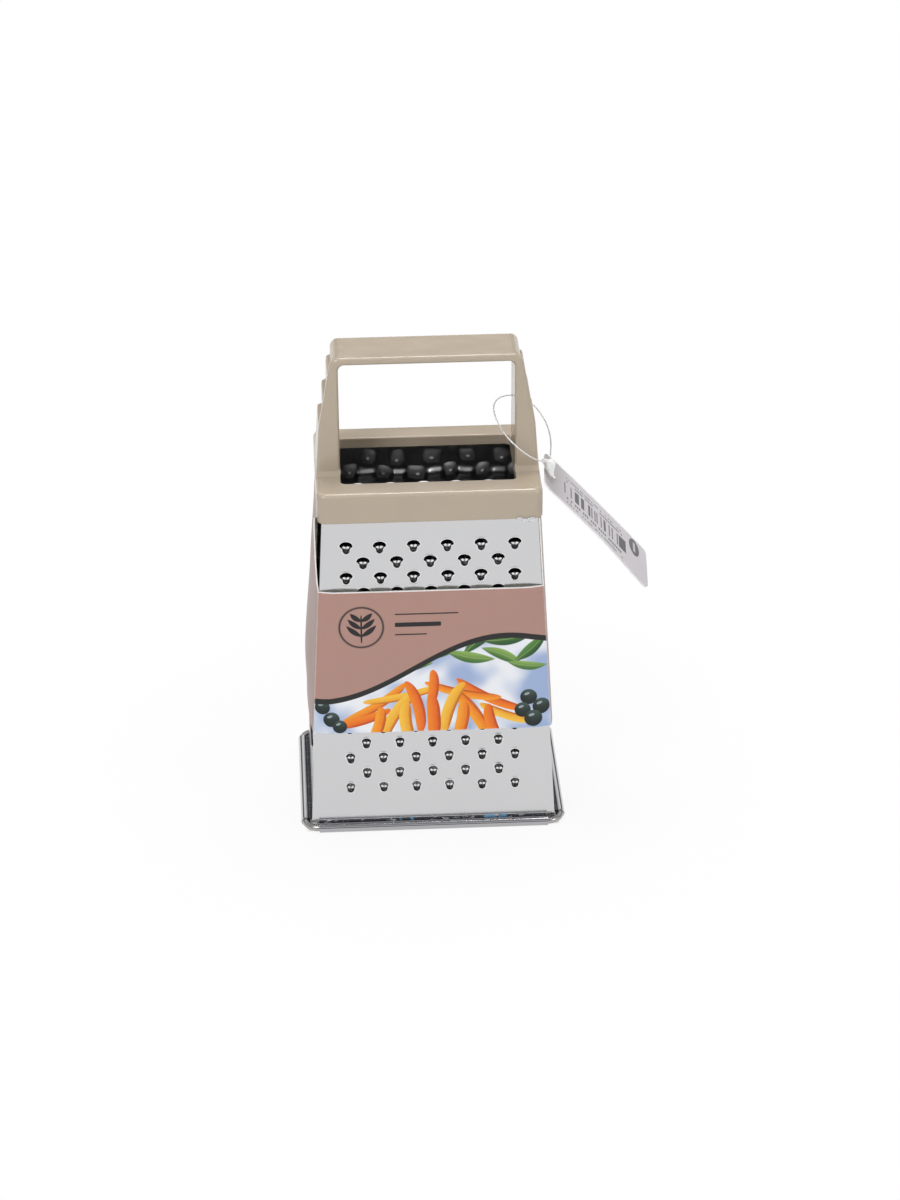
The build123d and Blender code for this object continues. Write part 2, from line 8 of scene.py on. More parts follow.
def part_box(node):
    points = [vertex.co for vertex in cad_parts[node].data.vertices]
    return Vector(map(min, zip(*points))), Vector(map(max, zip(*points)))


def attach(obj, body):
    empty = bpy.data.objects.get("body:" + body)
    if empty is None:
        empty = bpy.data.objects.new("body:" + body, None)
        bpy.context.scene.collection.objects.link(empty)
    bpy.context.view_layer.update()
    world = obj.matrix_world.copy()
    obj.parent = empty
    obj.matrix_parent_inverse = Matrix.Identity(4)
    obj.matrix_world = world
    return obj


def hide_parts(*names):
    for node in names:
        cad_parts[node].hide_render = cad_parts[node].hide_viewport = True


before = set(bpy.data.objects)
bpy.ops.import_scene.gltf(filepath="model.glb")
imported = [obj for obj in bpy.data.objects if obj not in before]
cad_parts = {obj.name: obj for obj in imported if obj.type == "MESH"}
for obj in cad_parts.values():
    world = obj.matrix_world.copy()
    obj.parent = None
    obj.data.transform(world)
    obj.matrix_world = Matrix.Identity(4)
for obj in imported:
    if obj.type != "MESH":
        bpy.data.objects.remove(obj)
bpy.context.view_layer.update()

# Sizes and places are in millimetres until they become a mesh in metres.
MM = 0.001

# The grater's steel body, as in its model
BASE_WIDTH = 85.0
BASE_DEPTH = 64.0
SHEET = 0.4
SHEET_TOP = 113.7
SIDE_LEAN = math.radians(2.97)
FACE_LEAN = math.radians(3.15)
RIM_OVERHANG = 3.55
CREASE_HEIGHT = 3.85
CREASE_RADIUS = 1.0
ROLL_RADIUS = 1.52
ROLL_HEIGHT = 1.44
ROLL_TURN = math.radians(280)
ROLL_CUT_BACK = 5.8
CORNER_NOTCH = 3.0
SEAM = 0.03
TABLE_GAP = 0.02
FOOT_HALF_WIDTH = BASE_WIDTH / 2 - RIM_OVERHANG
FOOT_HALF_DEPTH = BASE_DEPTH / 2 - RIM_OVERHANG

# What is stamped in each side, along its sheet from the crease: the pitch in a row, the step
# from row to row, the first row, its count, and how many full rows and rows between there are
TEETH = dict(pitch=10.5, row_step=5.25, first_row=11.0, columns=6, rows=9, between_rows=8)
SCOOPS = dict(pitch=10.5, row_step=9.1, first_row=9.4, columns=6, rows=5, between_rows=5)
BURRS = dict(pitch=6.0, row_step=5.2, first_row=12.0, columns=6, rows=9, between_rows=8)
SLOTS = dict(pitch=40.0, row_step=11.5, first_row=17.0, columns=1, rows=4, between_rows=0)
# The teeth's mouths widen between these distances from the crease
WIDEN_FROM, WIDEN_TO = 45.0, 85.0

# The card sleeve
CARD = 0.4
CARD_GAP = 0.1
SLEEVE_FOOT = 35.1
SLEEVE_FRONT_TOP = 84.2
SLEEVE_TOP = 107.1
SLEEVE_KNEE = 4.2

BODY = "grater"


def half_width(height):
    return FOOT_HALF_WIDTH - (height - CREASE_HEIGHT) * math.tan(SIDE_LEAN)


def half_depth(height):
    return FOOT_HALF_DEPTH - (height - CREASE_HEIGHT) * math.tan(FACE_LEAN)


def smooth_step(low, high, value):
    share = min(1.0, max(0.0, (value - low) / (high - low)))
    return share * share * (3 - 2 * share)


def direction(angle):
    return Vector((math.cos(angle), math.sin(angle)))


def turned(first, second, angle):
    """Two coordinates or two axes of a pair, turned by an angle."""
    return (first * math.cos(angle) + second * math.sin(angle),
            second * math.cos(angle) - first * math.sin(angle))


# Objects and meshes

def new_object(name, data):
    thing = bpy.data.objects.new(name, data)
    bpy.context.scene.collection.objects.link(thing)
    return thing


def piece_from(name, points, faces, materials=()):
    """A new object at the origin, from points in millimetres."""
    mesh = bpy.data.meshes.new(name)
    mesh.from_pydata([Vector(point) * MM for point in points], [], faces)
    mesh.update()
    for material in materials:
        mesh.materials.append(material)
    return new_object(name, mesh)


def note(mesh, name, values, kind="FLOAT", domain="POINT"):
    """Keeps one value for each point or face of a mesh under a name."""
    field = "vector" if kind == "FLOAT_VECTOR" else "value"
    mesh.attributes.new(name, kind, domain).data.foreach_set(field, values)


def grid_faces(lines):
    """Quads between lines of points that lie side by side."""
    return [(lower[index], lower[index + 1], upper[index + 1], upper[index])
            for lower, upper in zip(lines, lines[1:]) for index in range(len(lower) - 1)]


def ring_faces(rings, count):
    """Quads between closed rings of points, one round the other."""
    faces = []
    for ring in range(rings):
        for index in range(count):
            after = (index + 1) % count
            faces.append((ring * count + index, (ring + 1) * count + index,
                          (ring + 1) * count + after, ring * count + after))
    return faces


def shade_smooth(thing, angle):
    for face in thing.data.polygons:
        face.use_smooth = True
    thing.data.set_sharp_from_angle(angle=math.radians(angle))


def baked(thing):
    """Turns an object's modifiers into its plain mesh."""
    bpy.context.view_layer.update()
    graph = bpy.context.evaluated_depsgraph_get()
    mesh = bpy.data.meshes.new_from_object(thing.evaluated_get(graph), depsgraph=graph)
    thing.modifiers.clear()
    old = thing.data
    thing.data = mesh
    bpy.data.meshes.remove(old)
    return thing


def give_wall(thing, thickness, even=False):
    """Thickens a sheet inwards; its second material is the inside, its third the edge."""
    wall = thing.modifiers.new("wall", "SOLIDIFY")
    wall.thickness = thickness * MM
    wall.offset = -1.0
    wall.use_even_offset = even
    if len(thing.data.materials) > 1:
        wall.material_offset = 1
        wall.material_offset_rim = 2
    return baked(thing)


def hand_over(thing, body, node):
    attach(thing, body)
    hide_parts(node)


# The camera

def photo_camera():
    """The camera of the photograph: a long lens, a little left of the middle, looking down."""
    aim, distance = Vector((7.19, 0.0, 66.61)), 1158.2
    turn, rise, roll = math.radians(-2.94), math.radians(28.41), math.radians(-0.348)
    focal_pixels, picture_pixels = 3618.0, 900.0
    away = Vector((math.sin(turn) * math.cos(rise), -math.cos(turn) * math.cos(rise), math.sin(rise)))
    right = (-away).cross(Vector((0, 0, 1))).normalized()
    right, up = turned(right, right.cross(-away), roll)
    lens = bpy.data.cameras.new("photo_camera")
    lens.sensor_fit = "HORIZONTAL"
    lens.sensor_width = 36.0
    lens.lens = focal_pixels * lens.sensor_width / picture_pixels
    lens.clip_start = 0.05
    lens.clip_end = 20.0
    camera = new_object("photo_camera", lens)
    axes = Matrix((right, up, away)).transposed().to_4x4()
    camera.matrix_world = Matrix.Translation((aim + away * distance) * MM) @ axes
    bpy.context.scene.camera = camera


# Node trees

class Net:
    """A node tree with short ways to add to it. A value is a number, a colour or a socket."""

    def __init__(self, tree):
        self.tree = tree

    def feed(self, socket, value):
        if isinstance(value, bpy.types.NodeSocket):
            self.tree.links.new(value, socket)
        else:
            socket.default_value = value

    def put(self, kind, settings=None, **values):
        """Adds a node, sets its fields and feeds its inputs by name."""
        node = self.tree.nodes.new(kind)
        for field, value in (settings or {}).items():
            setattr(node, field, value)
        for name, value in values.items():
            name = name.replace("_", " ")
            fitting = [socket for socket in node.inputs if socket.enabled and socket.name == name]
            self.feed(fitting[0] if fitting else node.inputs[name], value)
        return node

    def work_out(self, operation, *values):
        node = self.put("ShaderNodeMath", {"operation": operation})
        for socket, value in zip(node.inputs, values):
            self.feed(socket, value)
        return node.outputs[0]

    def times(self, product, *others):
        for other in others:
            product = self.work_out("MULTIPLY", product, other)
        return product

    def away(self, value, middle=0.0):
        return self.work_out("ABSOLUTE", self.work_out("SUBTRACT", value, middle))

    def wave(self, value, crest, length):
        """A cosine wave over a value, with one of its crests and its length."""
        turn = self.times(self.work_out("SUBTRACT", value, crest), 2 * math.pi / length)
        return self.work_out("COSINE", turn)

    def ramp(self, value, low, high, start=0.0, end=1.0):
        """A clamped smooth map of a value."""
        return self.put("ShaderNodeMapRange", {"interpolation_type": "SMOOTHSTEP"}, Value=value,
                        From_Min=low, From_Max=high, To_Min=start, To_Max=end).outputs[0]

    def window(self, value, low, high, soft=0.06):
        """1 between two limits and 0 outside them."""
        return self.times(self.ramp(value, low - soft, low + soft),
                          self.ramp(value, high + soft, high - soft))

    def blend(self, share, first, second):
        """Mixes two colours."""
        node = self.put("ShaderNodeMix", {"data_type": "RGBA"})
        for index, value in ((0, share), (6, first), (7, second)):
            self.feed(node.inputs[index], (*value, 1.0) if isinstance(value, (tuple, list)) else value)
        return node.outputs[2]

    def vectors(self, operation, first, second):
        """A Vector Math node; the second value is a number where it scales."""
        node = self.put("ShaderNodeVectorMath", {"operation": operation})
        self.feed(node.inputs[0], first)
        self.feed(node.inputs["Scale" if operation == "SCALE" else 1], second)
        return node.outputs[0]

    def parts(self, vector):
        """The X, Y and Z sockets of a vector in metres, in millimetres."""
        return self.put("ShaderNodeSeparateXYZ", Vector=self.vectors("SCALE", vector, 1 / MM)).outputs

    def group(self, group, **values):
        node = self.put("ShaderNodeGroup", {"node_tree": group})
        for name, value in values.items():
            self.feed(node.inputs[name.replace("_", " ")], value)
        return node.outputs

    def bump(self, height, distance, strength=1.0, **normal):
        return self.put("ShaderNodeBump", Height=height, Strength=strength, Distance=distance,
                        **normal).outputs[0]


class Finish(Net):
    """A material with one Principled BSDF, and what will feed its colour, roughness and normal."""

    def __init__(self, name, colour, roughness, metallic=0.0, **plain):
        self.material = bpy.data.materials.new(name)
        self.material.use_nodes = True
        super().__init__(self.material.node_tree)
        self.shader = self.tree.nodes["Principled BSDF"]
        self.surface = self.shader.inputs
        self.surface["Base Color"].default_value = (*colour, 1.0)
        self.surface["Roughness"].default_value = roughness
        self.surface["Metallic"].default_value = metallic
        for label, value in plain.items():
            self.surface[label.replace("_", " ")].default_value = value
        self.place = self.put("ShaderNodeTexCoord").outputs["Object"]
        self.tone, self.rough, self.normal = colour, roughness, None

    def noise(self, scale, detail):
        return self.put("ShaderNodeTexNoise", Vector=self.place, Scale=scale, Detail=detail).outputs

    def attribute(self, name):
        return self.put("ShaderNodeAttribute", {"attribute_name": name}).outputs["Fac"]

    def hairlines(self, stretch, scale, cut):
        return self.group(HAIRLINES, Vector=self.place, Stretch=stretch, Scale=scale, Cut=cut)["Mask"]

    def clouds(self, scale, strength, distance):
        return self.group(CLOUDS, Vector=self.place, Scale=scale, Strength=strength, Distance=distance)

    def tint(self, share, colour):
        """Lays a colour over what the material shows so far."""
        self.tone = self.blend(share, self.tone, colour)

    def roughen(self, share, amount):
        self.rough = self.work_out("MULTIPLY_ADD", share, amount, self.rough)

    def press(self, height, distance):
        """Waves the surface on top of what waves it so far."""
        self.normal = self.bump(height, distance, Normal=self.normal)

    def done(self):
        for label, value in (("Base Color", self.tone), ("Roughness", self.rough), ("Normal", self.normal)):
            if isinstance(value, bpy.types.NodeSocket):
                self.tree.links.new(value, self.surface[label])
        return self.material


def new_group(name, inputs, outputs):
    """An empty shader node group with named inputs and outputs."""
    tree = bpy.data.node_groups.new(name, "ShaderNodeTree")
    for label, kind, value in inputs:
        tree.interface.new_socket(label, in_out="INPUT", socket_type=kind).default_value = value
    for label, kind in outputs:
        tree.interface.new_socket(label, in_out="OUTPUT", socket_type=kind)
    net = Net(tree)
    return net, net.put("NodeGroupInput").outputs, net.put("NodeGroupOutput").inputs


def cloud_group():
    """Soft, slow unevenness: a mask from 0 to 1, and a normal that waves the surface."""
    net, given, result = new_group(
        "slow_unevenness",
        [
            ("Vector", "NodeSocketVector", (0, 0, 0)),
            ("Scale", "NodeSocketFloat", 60.0),
            ("Strength", "NodeSocketFloat", 0.1),
            ("Distance", "NodeSocketFloat", 0.0005),
        ],
        [("Mask", "NodeSocketFloat"), ("Normal", "NodeSocketVector")],
    )
    noise = net.put("ShaderNodeTexNoise", Vector=given["Vector"], Scale=given["Scale"], Detail=2.0,
                    Roughness=0.5).outputs["Fac"]
    net.feed(result["Mask"], net.ramp(noise, 0.3, 0.7))
    net.feed(result["Normal"], net.bump(noise, given["Distance"], given["Strength"]))
    return net.tree


def hairline_group():
    """Hairlines and rubbed marks in one direction: a mask, from stretched noise."""
    net, given, result = new_group(
        "hairlines",
        [
            ("Vector", "NodeSocketVector", (0, 0, 0)),
            ("Stretch", "NodeSocketVector", (1, 1, 1)),
            ("Scale", "NodeSocketFloat", 400.0),
            ("Cut", "NodeSocketFloat", 0.6),
        ],
        [("Mask", "NodeSocketFloat")],
    )
    stretched = net.vectors("MULTIPLY", given["Vector"], given["Stretch"])
    noise = net.put("ShaderNodeTexNoise", Vector=stretched, Scale=given["Scale"], Detail=4.0,
                    Roughness=0.65).outputs["Fac"]
    upper = net.work_out("ADD", given["Cut"], 0.14)
    net.feed(result["Mask"], net.ramp(noise, given["Cut"], upper))
    return net.tree


def motif_group():
    """One printed shape: |u / length| ** p + |v / width| ** q < 1, turned and bent."""
    values = (("X", 0.0), ("Z", 0.0), ("Centre X", 0.0), ("Centre Z", 0.0), ("Turn", 0.0), ("Length", 5.0),
              ("Width", 1.0), ("Bend", 0.0), ("P", 2.0), ("Q", 2.0))
    net, given, result = new_group(
        "printed_motif",
        [(label, "NodeSocketFloat", value) for label, value in values],
        [(label, "NodeSocketFloat") for label in ("Mask", "Across", "Along")],
    )
    x = net.work_out("SUBTRACT", given["X"], given["Centre X"])
    z = net.work_out("SUBTRACT", given["Z"], given["Centre Z"])
    cosine, sine = (net.work_out(kind, given["Turn"]) for kind in ("COSINE", "SINE"))
    along = net.work_out("ADD", net.times(x, cosine), net.times(z, sine))
    over = net.work_out("SUBTRACT", net.times(z, cosine), net.times(x, sine))
    along = net.work_out("DIVIDE", along, given["Length"])
    bent = net.times(along, along, given["Bend"])
    over = net.work_out("DIVIDE", net.work_out("SUBTRACT", over, bent), given["Width"])
    reach = net.work_out("ADD", *(net.work_out("POWER", net.work_out("ABSOLUTE", value), given[label])
                                  for value, label in ((along, "P"), (over, "Q"))))
    net.feed(result["Mask"], net.ramp(reach, 1.08, 0.9))
    net.feed(result["Across"], net.ramp(over, -1.0, 1.0))
    net.feed(result["Along"], net.ramp(along, -1.0, 1.0))
    return net.tree


CLOUDS = cloud_group()
HAIRLINES = hairline_group()
MOTIF = motif_group()


# Steel

def bright_steel(name, colour, roughness):
    """Steel with slow waves and hairlines."""
    steel = Finish(name, colour, roughness, metallic=1.0)
    waves = steel.clouds(30.0, 0.06, 0.0016)
    lines = steel.hairlines((1.0, 1.0, 0.05), 900.0, 0.55)
    steel.tint(steel.times(waves["Mask"], 0.2), [channel * 0.94 for channel in colour])
    steel.tint(steel.times(lines, 0.12), [min(1.0, channel * 1.08) for channel in colour])
    steel.roughen(lines, 0.06)
    steel.normal = waves["Normal"]
    return steel


def mark_teeth(steel):
    """Painted shade, speckled and rougher, where the shade is above 0, and painted highlight below 0."""
    shade = steel.attribute("shade")
    speckle = steel.noise(1500.0, 2.0)["Fac"]
    cut = steel.ramp(shade, 0.0, 1.0)
    # Painted shade: dark, speckled metal where the shade is above 0
    steel.tint(steel.times(cut, steel.ramp(speckle, 0.75, 0.4, 0.82, 1.0)), (0.018, 0.018, 0.019))
    # Painted highlight where the shade is below 0, less metallic so that it stays bright
    steel.tint(steel.ramp(shade, 0.0, -1.0), (0.97, 0.97, 0.97))
    steel.roughen(cut, 0.25)
    steel.feed(steel.surface["Metallic"], steel.ramp(shade, 0.0, -1.0, 1.0, 0.35))


def mark_rim(steel):
    """Painted shade in the crease above the roll, with bright scuffs and, in front, crumbs of blue film."""
    front, behind = -FOOT_HALF_DEPTH + 1.0, -FOOT_HALF_DEPTH + 3.0
    # The crumbs' middles along the rim, and how far they spread
    crumbs = ((-8.6, 2.6), (20.2, 4.4))
    x, y, _ = steel.parts(steel.place)
    rim = steel.attribute("rim")
    in_front = steel.ramp(y, behind, front, 0.12, 1.0)
    crease = steel.times(steel.ramp(rim, 0.02, 0.075), steel.ramp(rim, 0.27, 0.225))
    rolled = steel.ramp(rim, 0.27, 0.32)
    scuffs = steel.times(crease, steel.hairlines((0.45, 1.0, 1.6), 560.0, 0.52), in_front)
    # Painted shade in the crease between the sheet and the roll
    steel.tint(crease, (0.07, 0.072, 0.08))
    steel.tint(steel.times(scuffs, 0.8), (0.85, 0.86, 0.88))
    near = [steel.ramp(steel.away(x, middle), reach, reach * 0.7) for middle, reach in crumbs]
    film = steel.times(steel.ramp(steel.noise(260.0, 2.0)["Fac"], 0.36, 0.46), crease,
                       steel.work_out("MAXIMUM", *near), steel.ramp(y, behind, front))
    steel.tint(steel.times(film, 0.85), (0.2, 0.43, 0.64))
    # Painted reflection: the roll is darker in front, with darker specks
    steel.tint(steel.times(rolled, in_front, 0.55), (0.26, 0.26, 0.27))
    specks = steel.hairlines((1.0, 1.0, 1.0), 420.0, 0.66)
    steel.tint(steel.times(rolled, specks, in_front), (0.3, 0.3, 0.31))
    steel.roughen(scuffs, 0.3)
    steel.roughen(rolled, -0.09)


def draw_out_teeth(steel, height):
    """Waves the sheet by so many metres round and behind the front's rows of teeth."""
    rise, soft = 5.242, 1.5
    least, most, reach = CREASE_HEIGHT + 7.0, CREASE_HEIGHT + 98.5, 29.5
    x, _, z = steel.parts(steel.place)
    domes = steel.times(steel.wave(x, TEETH["pitch"] / 2, TEETH["pitch"]),
                        steel.wave(z, CREASE_HEIGHT + TEETH["first_row"], 2 * rise))
    steel.press(steel.times(
        steel.ramp(domes, 0.0, 1.0), steel.ramp(z, least, least + soft), steel.ramp(z, most, most - soft),
        steel.ramp(steel.away(x), reach, reach - soft)), height)


def dent_back(steel):
    """The scoops from inside: dull dents with a painted highlight, and a slope that faces up between."""
    pitch, rise, row, middle, least = 10.6, 5.15, 107.3, 3.2, 98.5
    slope_top, slope_foot = 103.6, 100.8
    drift_aside, drift_up = 5.0, 3.5
    x, _, z = steel.parts(steel.place)
    drift = steel.noise(110.0, 1.0)["Color"]
    aside, upward, _ = steel.put("ShaderNodeSeparateXYZ", Vector=drift).outputs
    x = steel.work_out("SUBTRACT", x, drift_aside / 2)
    x = steel.work_out("MULTIPLY_ADD", aside, drift_aside, x)
    z = steel.work_out("SUBTRACT", z, drift_up / 2)
    z = steel.work_out("MULTIPLY_ADD", upward, drift_up, z)
    across = steel.wave(x, middle, pitch)
    dent = steel.times(steel.ramp(steel.times(across, steel.wave(z, row, 2 * rise)), 0.0, 1.0),
                       steel.ramp(z, least, least + 1.5))
    steel.press(dent, 0.0009)
    steel.roughen(steel.ramp(dent, 0.02, 0.3), 0.38)
    # Painted highlight a little below each dent's middle, less metallic so that it stays bright
    painted_glint = steel.times(across, steel.wave(z, row - 0.7, 2 * rise))
    steel.tint(steel.ramp(painted_glint, 0.93, 0.98, 0.0, 0.9), (0.9, 0.9, 0.9))
    steel.feed(steel.surface["Metallic"], steel.ramp(painted_glint, 0.93, 0.98, 1.0, 0.2))
    steel.press(steel.times(steel.ramp(z, slope_top, slope_foot), steel.ramp(z, least - 2.0, slope_foot),
                            steel.ramp(across, -0.5, 0.7)), 0.0012)


def outside_steel(name, tooth_domes=0.0):
    steel = bright_steel(name, (0.63, 0.63, 0.64), 0.2)
    mark_teeth(steel)
    mark_rim(steel)
    if tooth_domes:
        draw_out_teeth(steel, tooth_domes)
    return steel.done()


def inside_steel(name, colour, roughness, tooth_domes=0.0, dented=False):
    """The inside of a side, with painted shade that gets darker downwards."""
    steel = bright_steel(name, colour, roughness)
    # Painted shade inside the box, darker towards the bottom
    steel.tint(steel.ramp(steel.parts(steel.place)[2], 96.0, 84.0, 0.0, 0.8), (0.03, 0.03, 0.03))
    if tooth_domes:
        draw_out_teeth(steel, tooth_domes)
    if dented:
        dent_back(steel)
    return steel.done()


# Plastic and card

def moulded_finish(name, colour):
    """Glossy moulded plastic, faintly cloudy, with a very fine orange-peel skin."""
    plastic = Finish(name, colour, 0.18, IOR=1.52)
    cloudy = plastic.clouds(70.0, 0.0, 0.0005)["Mask"]
    plastic.tint(plastic.times(cloudy, 0.5), (colour[0] * 1.05, colour[1] * 1.04, colour[2]))
    plastic.roughen(plastic.hairlines((1.0, 1.0, 1.0), 260.0, 0.66), 0.14)
    plastic.normal = plastic.bump(plastic.noise(110.0, 1.0)["Fac"], 0.0012, 0.18)
    return plastic.done()


def clear_finish(name, colour, roughness, cloud, clear, bend=1.5, heart=None):
    """Clear plastic with a faint cloud in it, and a greyer heart where it is seen face on: painted
    shade in the middle and a painted sheen towards the edges.
    """
    plastic = Finish(name, colour, roughness, IOR=bend, Transmission_Weight=clear)
    if heart:
        # Painted shade face on and painted sheen towards the edges
        facing = plastic.put("ShaderNodeLayerWeight", Blend=0.5).outputs["Facing"]
        plastic.tone = plastic.blend(plastic.ramp(facing, 0.1, 0.55), heart, colour)
    cloudy = plastic.clouds(500.0, cloud, 0.0004)
    plastic.roughen(cloudy["Mask"], 0.12)
    plastic.normal = cloudy["Normal"]
    return plastic.done()


def card_finish(name, colour, roughness=0.7):
    """Plain paper board with a little fibre."""
    card = Finish(name, colour, roughness)
    fibre = card.hairlines((1.0, 0.4, 1.0), 2600.0, 0.45)
    card.tint(card.times(fibre, 0.3), [channel * 0.88 for channel in colour])
    card.normal = card.bump(card.noise(2200.0, 3.0)["Fac"], 0.0002, 0.12)
    return card.done()


# Printed shapes in front of each other: centre x and z, turn in degrees, half length, half
# width, bend. All are in millimetres on the sleeve's front.
LEAVES = [
    (4.0, 63.5, 24.0, 8.5, 2.2, 0.6),
    (15.5, 67.0, 38.0, 8.0, 2.0, -0.8),
    (12.0, 60.5, -12.0, 8.0, 1.9, 0.9),
    (24.0, 66.5, 8.0, 8.5, 2.1, 1.0),
    (22.5, 61.0, -26.0, 7.5, 1.8, -0.6),
    (31.5, 63.0, 42.0, 7.0, 1.9, 0.5),
    (-6.5, 58.0, 14.0, 7.0, 1.7, -0.8),
    (-16.0, 52.0, 30.0, 5.5, 1.2, 0.6),
    (30.0, 57.0, -8.0, 6.5, 1.5, 0.7),
]
SHREDS = [
    (-17.5, 44.5, 33.0, 12.0, 1.5, 1.4),
    (18.0, 46.0, 152.0, 12.5, 1.5, -1.5),
    (-9.0, 47.5, 12.0, 13.0, 1.3, 1.0),
    (9.5, 48.0, 166.0, 12.5, 1.4, -1.2),
    (-21.5, 39.5, 18.0, 9.0, 1.5, 0.8),
    (23.0, 40.0, 158.0, 9.0, 1.5, -0.8),
    (0.5, 50.0, 84.0, 6.5, 1.6, 0.9),
    (-12.0, 41.0, 58.0, 11.0, 1.9, -1.6),
    (13.0, 41.5, 124.0, 10.5, 1.9, 1.4),
    (-4.5, 44.0, 104.0, 9.5, 1.8, 1.6),
    (5.5, 43.5, 70.0, 9.5, 1.9, -1.4),
    (-17.0, 37.5, 74.0, 6.5, 1.8, 0.9),
    (18.5, 37.5, 106.0, 6.5, 1.8, -0.9),
    (-8.5, 38.5, 96.0, 7.0, 2.0, -1.0),
    (9.5, 38.5, 80.0, 7.0, 2.0, 0.8),
    (0.5, 39.5, 92.0, 8.5, 2.1, 0.6),
]
# Centre x and z, and radius
BERRIES = [
    (30.5, 46.0, 2.7),
    (34.5, 42.5, 2.8),
    (28.6, 41.5, 2.6),
    (32.0, 38.4, 2.9),
    (-32.0, 40.0, 2.6),
    (-34.8, 44.2, 2.4),
    (-29.4, 37.4, 2.3),
]
# Centre x and z of the ring round the sprig
SPRIG_RING = (-22.0, 72.0)
# Height of each pair of the sprig's leaves above the ring's middle, and their half length
SPRIG_LEAVES = [(-3.4, 3.2), (-0.8, 2.9), (1.8, 2.4)]
# Height, left end, right end and half thickness of each plain rule
RULES = [(76.2, -11.5, 8.5, 0.22), (72.6, -11.5, 3.0, 0.75), (69.2, -11.5, -1.5, 0.22)]

PINK = (0.45, 0.262, 0.22)
BLACK = (0.012, 0.012, 0.012)
# Deep and light tones of the leaves and of the shreds, which follow each other by turns
GREENS = [((0.04, 0.15, 0.03), (0.26, 0.44, 0.10)), ((0.015, 0.075, 0.02), (0.10, 0.27, 0.05))]
ORANGES = [
    ((0.82, 0.10, 0.008), (0.93, 0.25, 0.012)), ((0.88, 0.16, 0.008), (0.96, 0.38, 0.02)),
    ((0.90, 0.34, 0.015), (0.97, 0.58, 0.06)),
]
BACK_SHREDS = 6


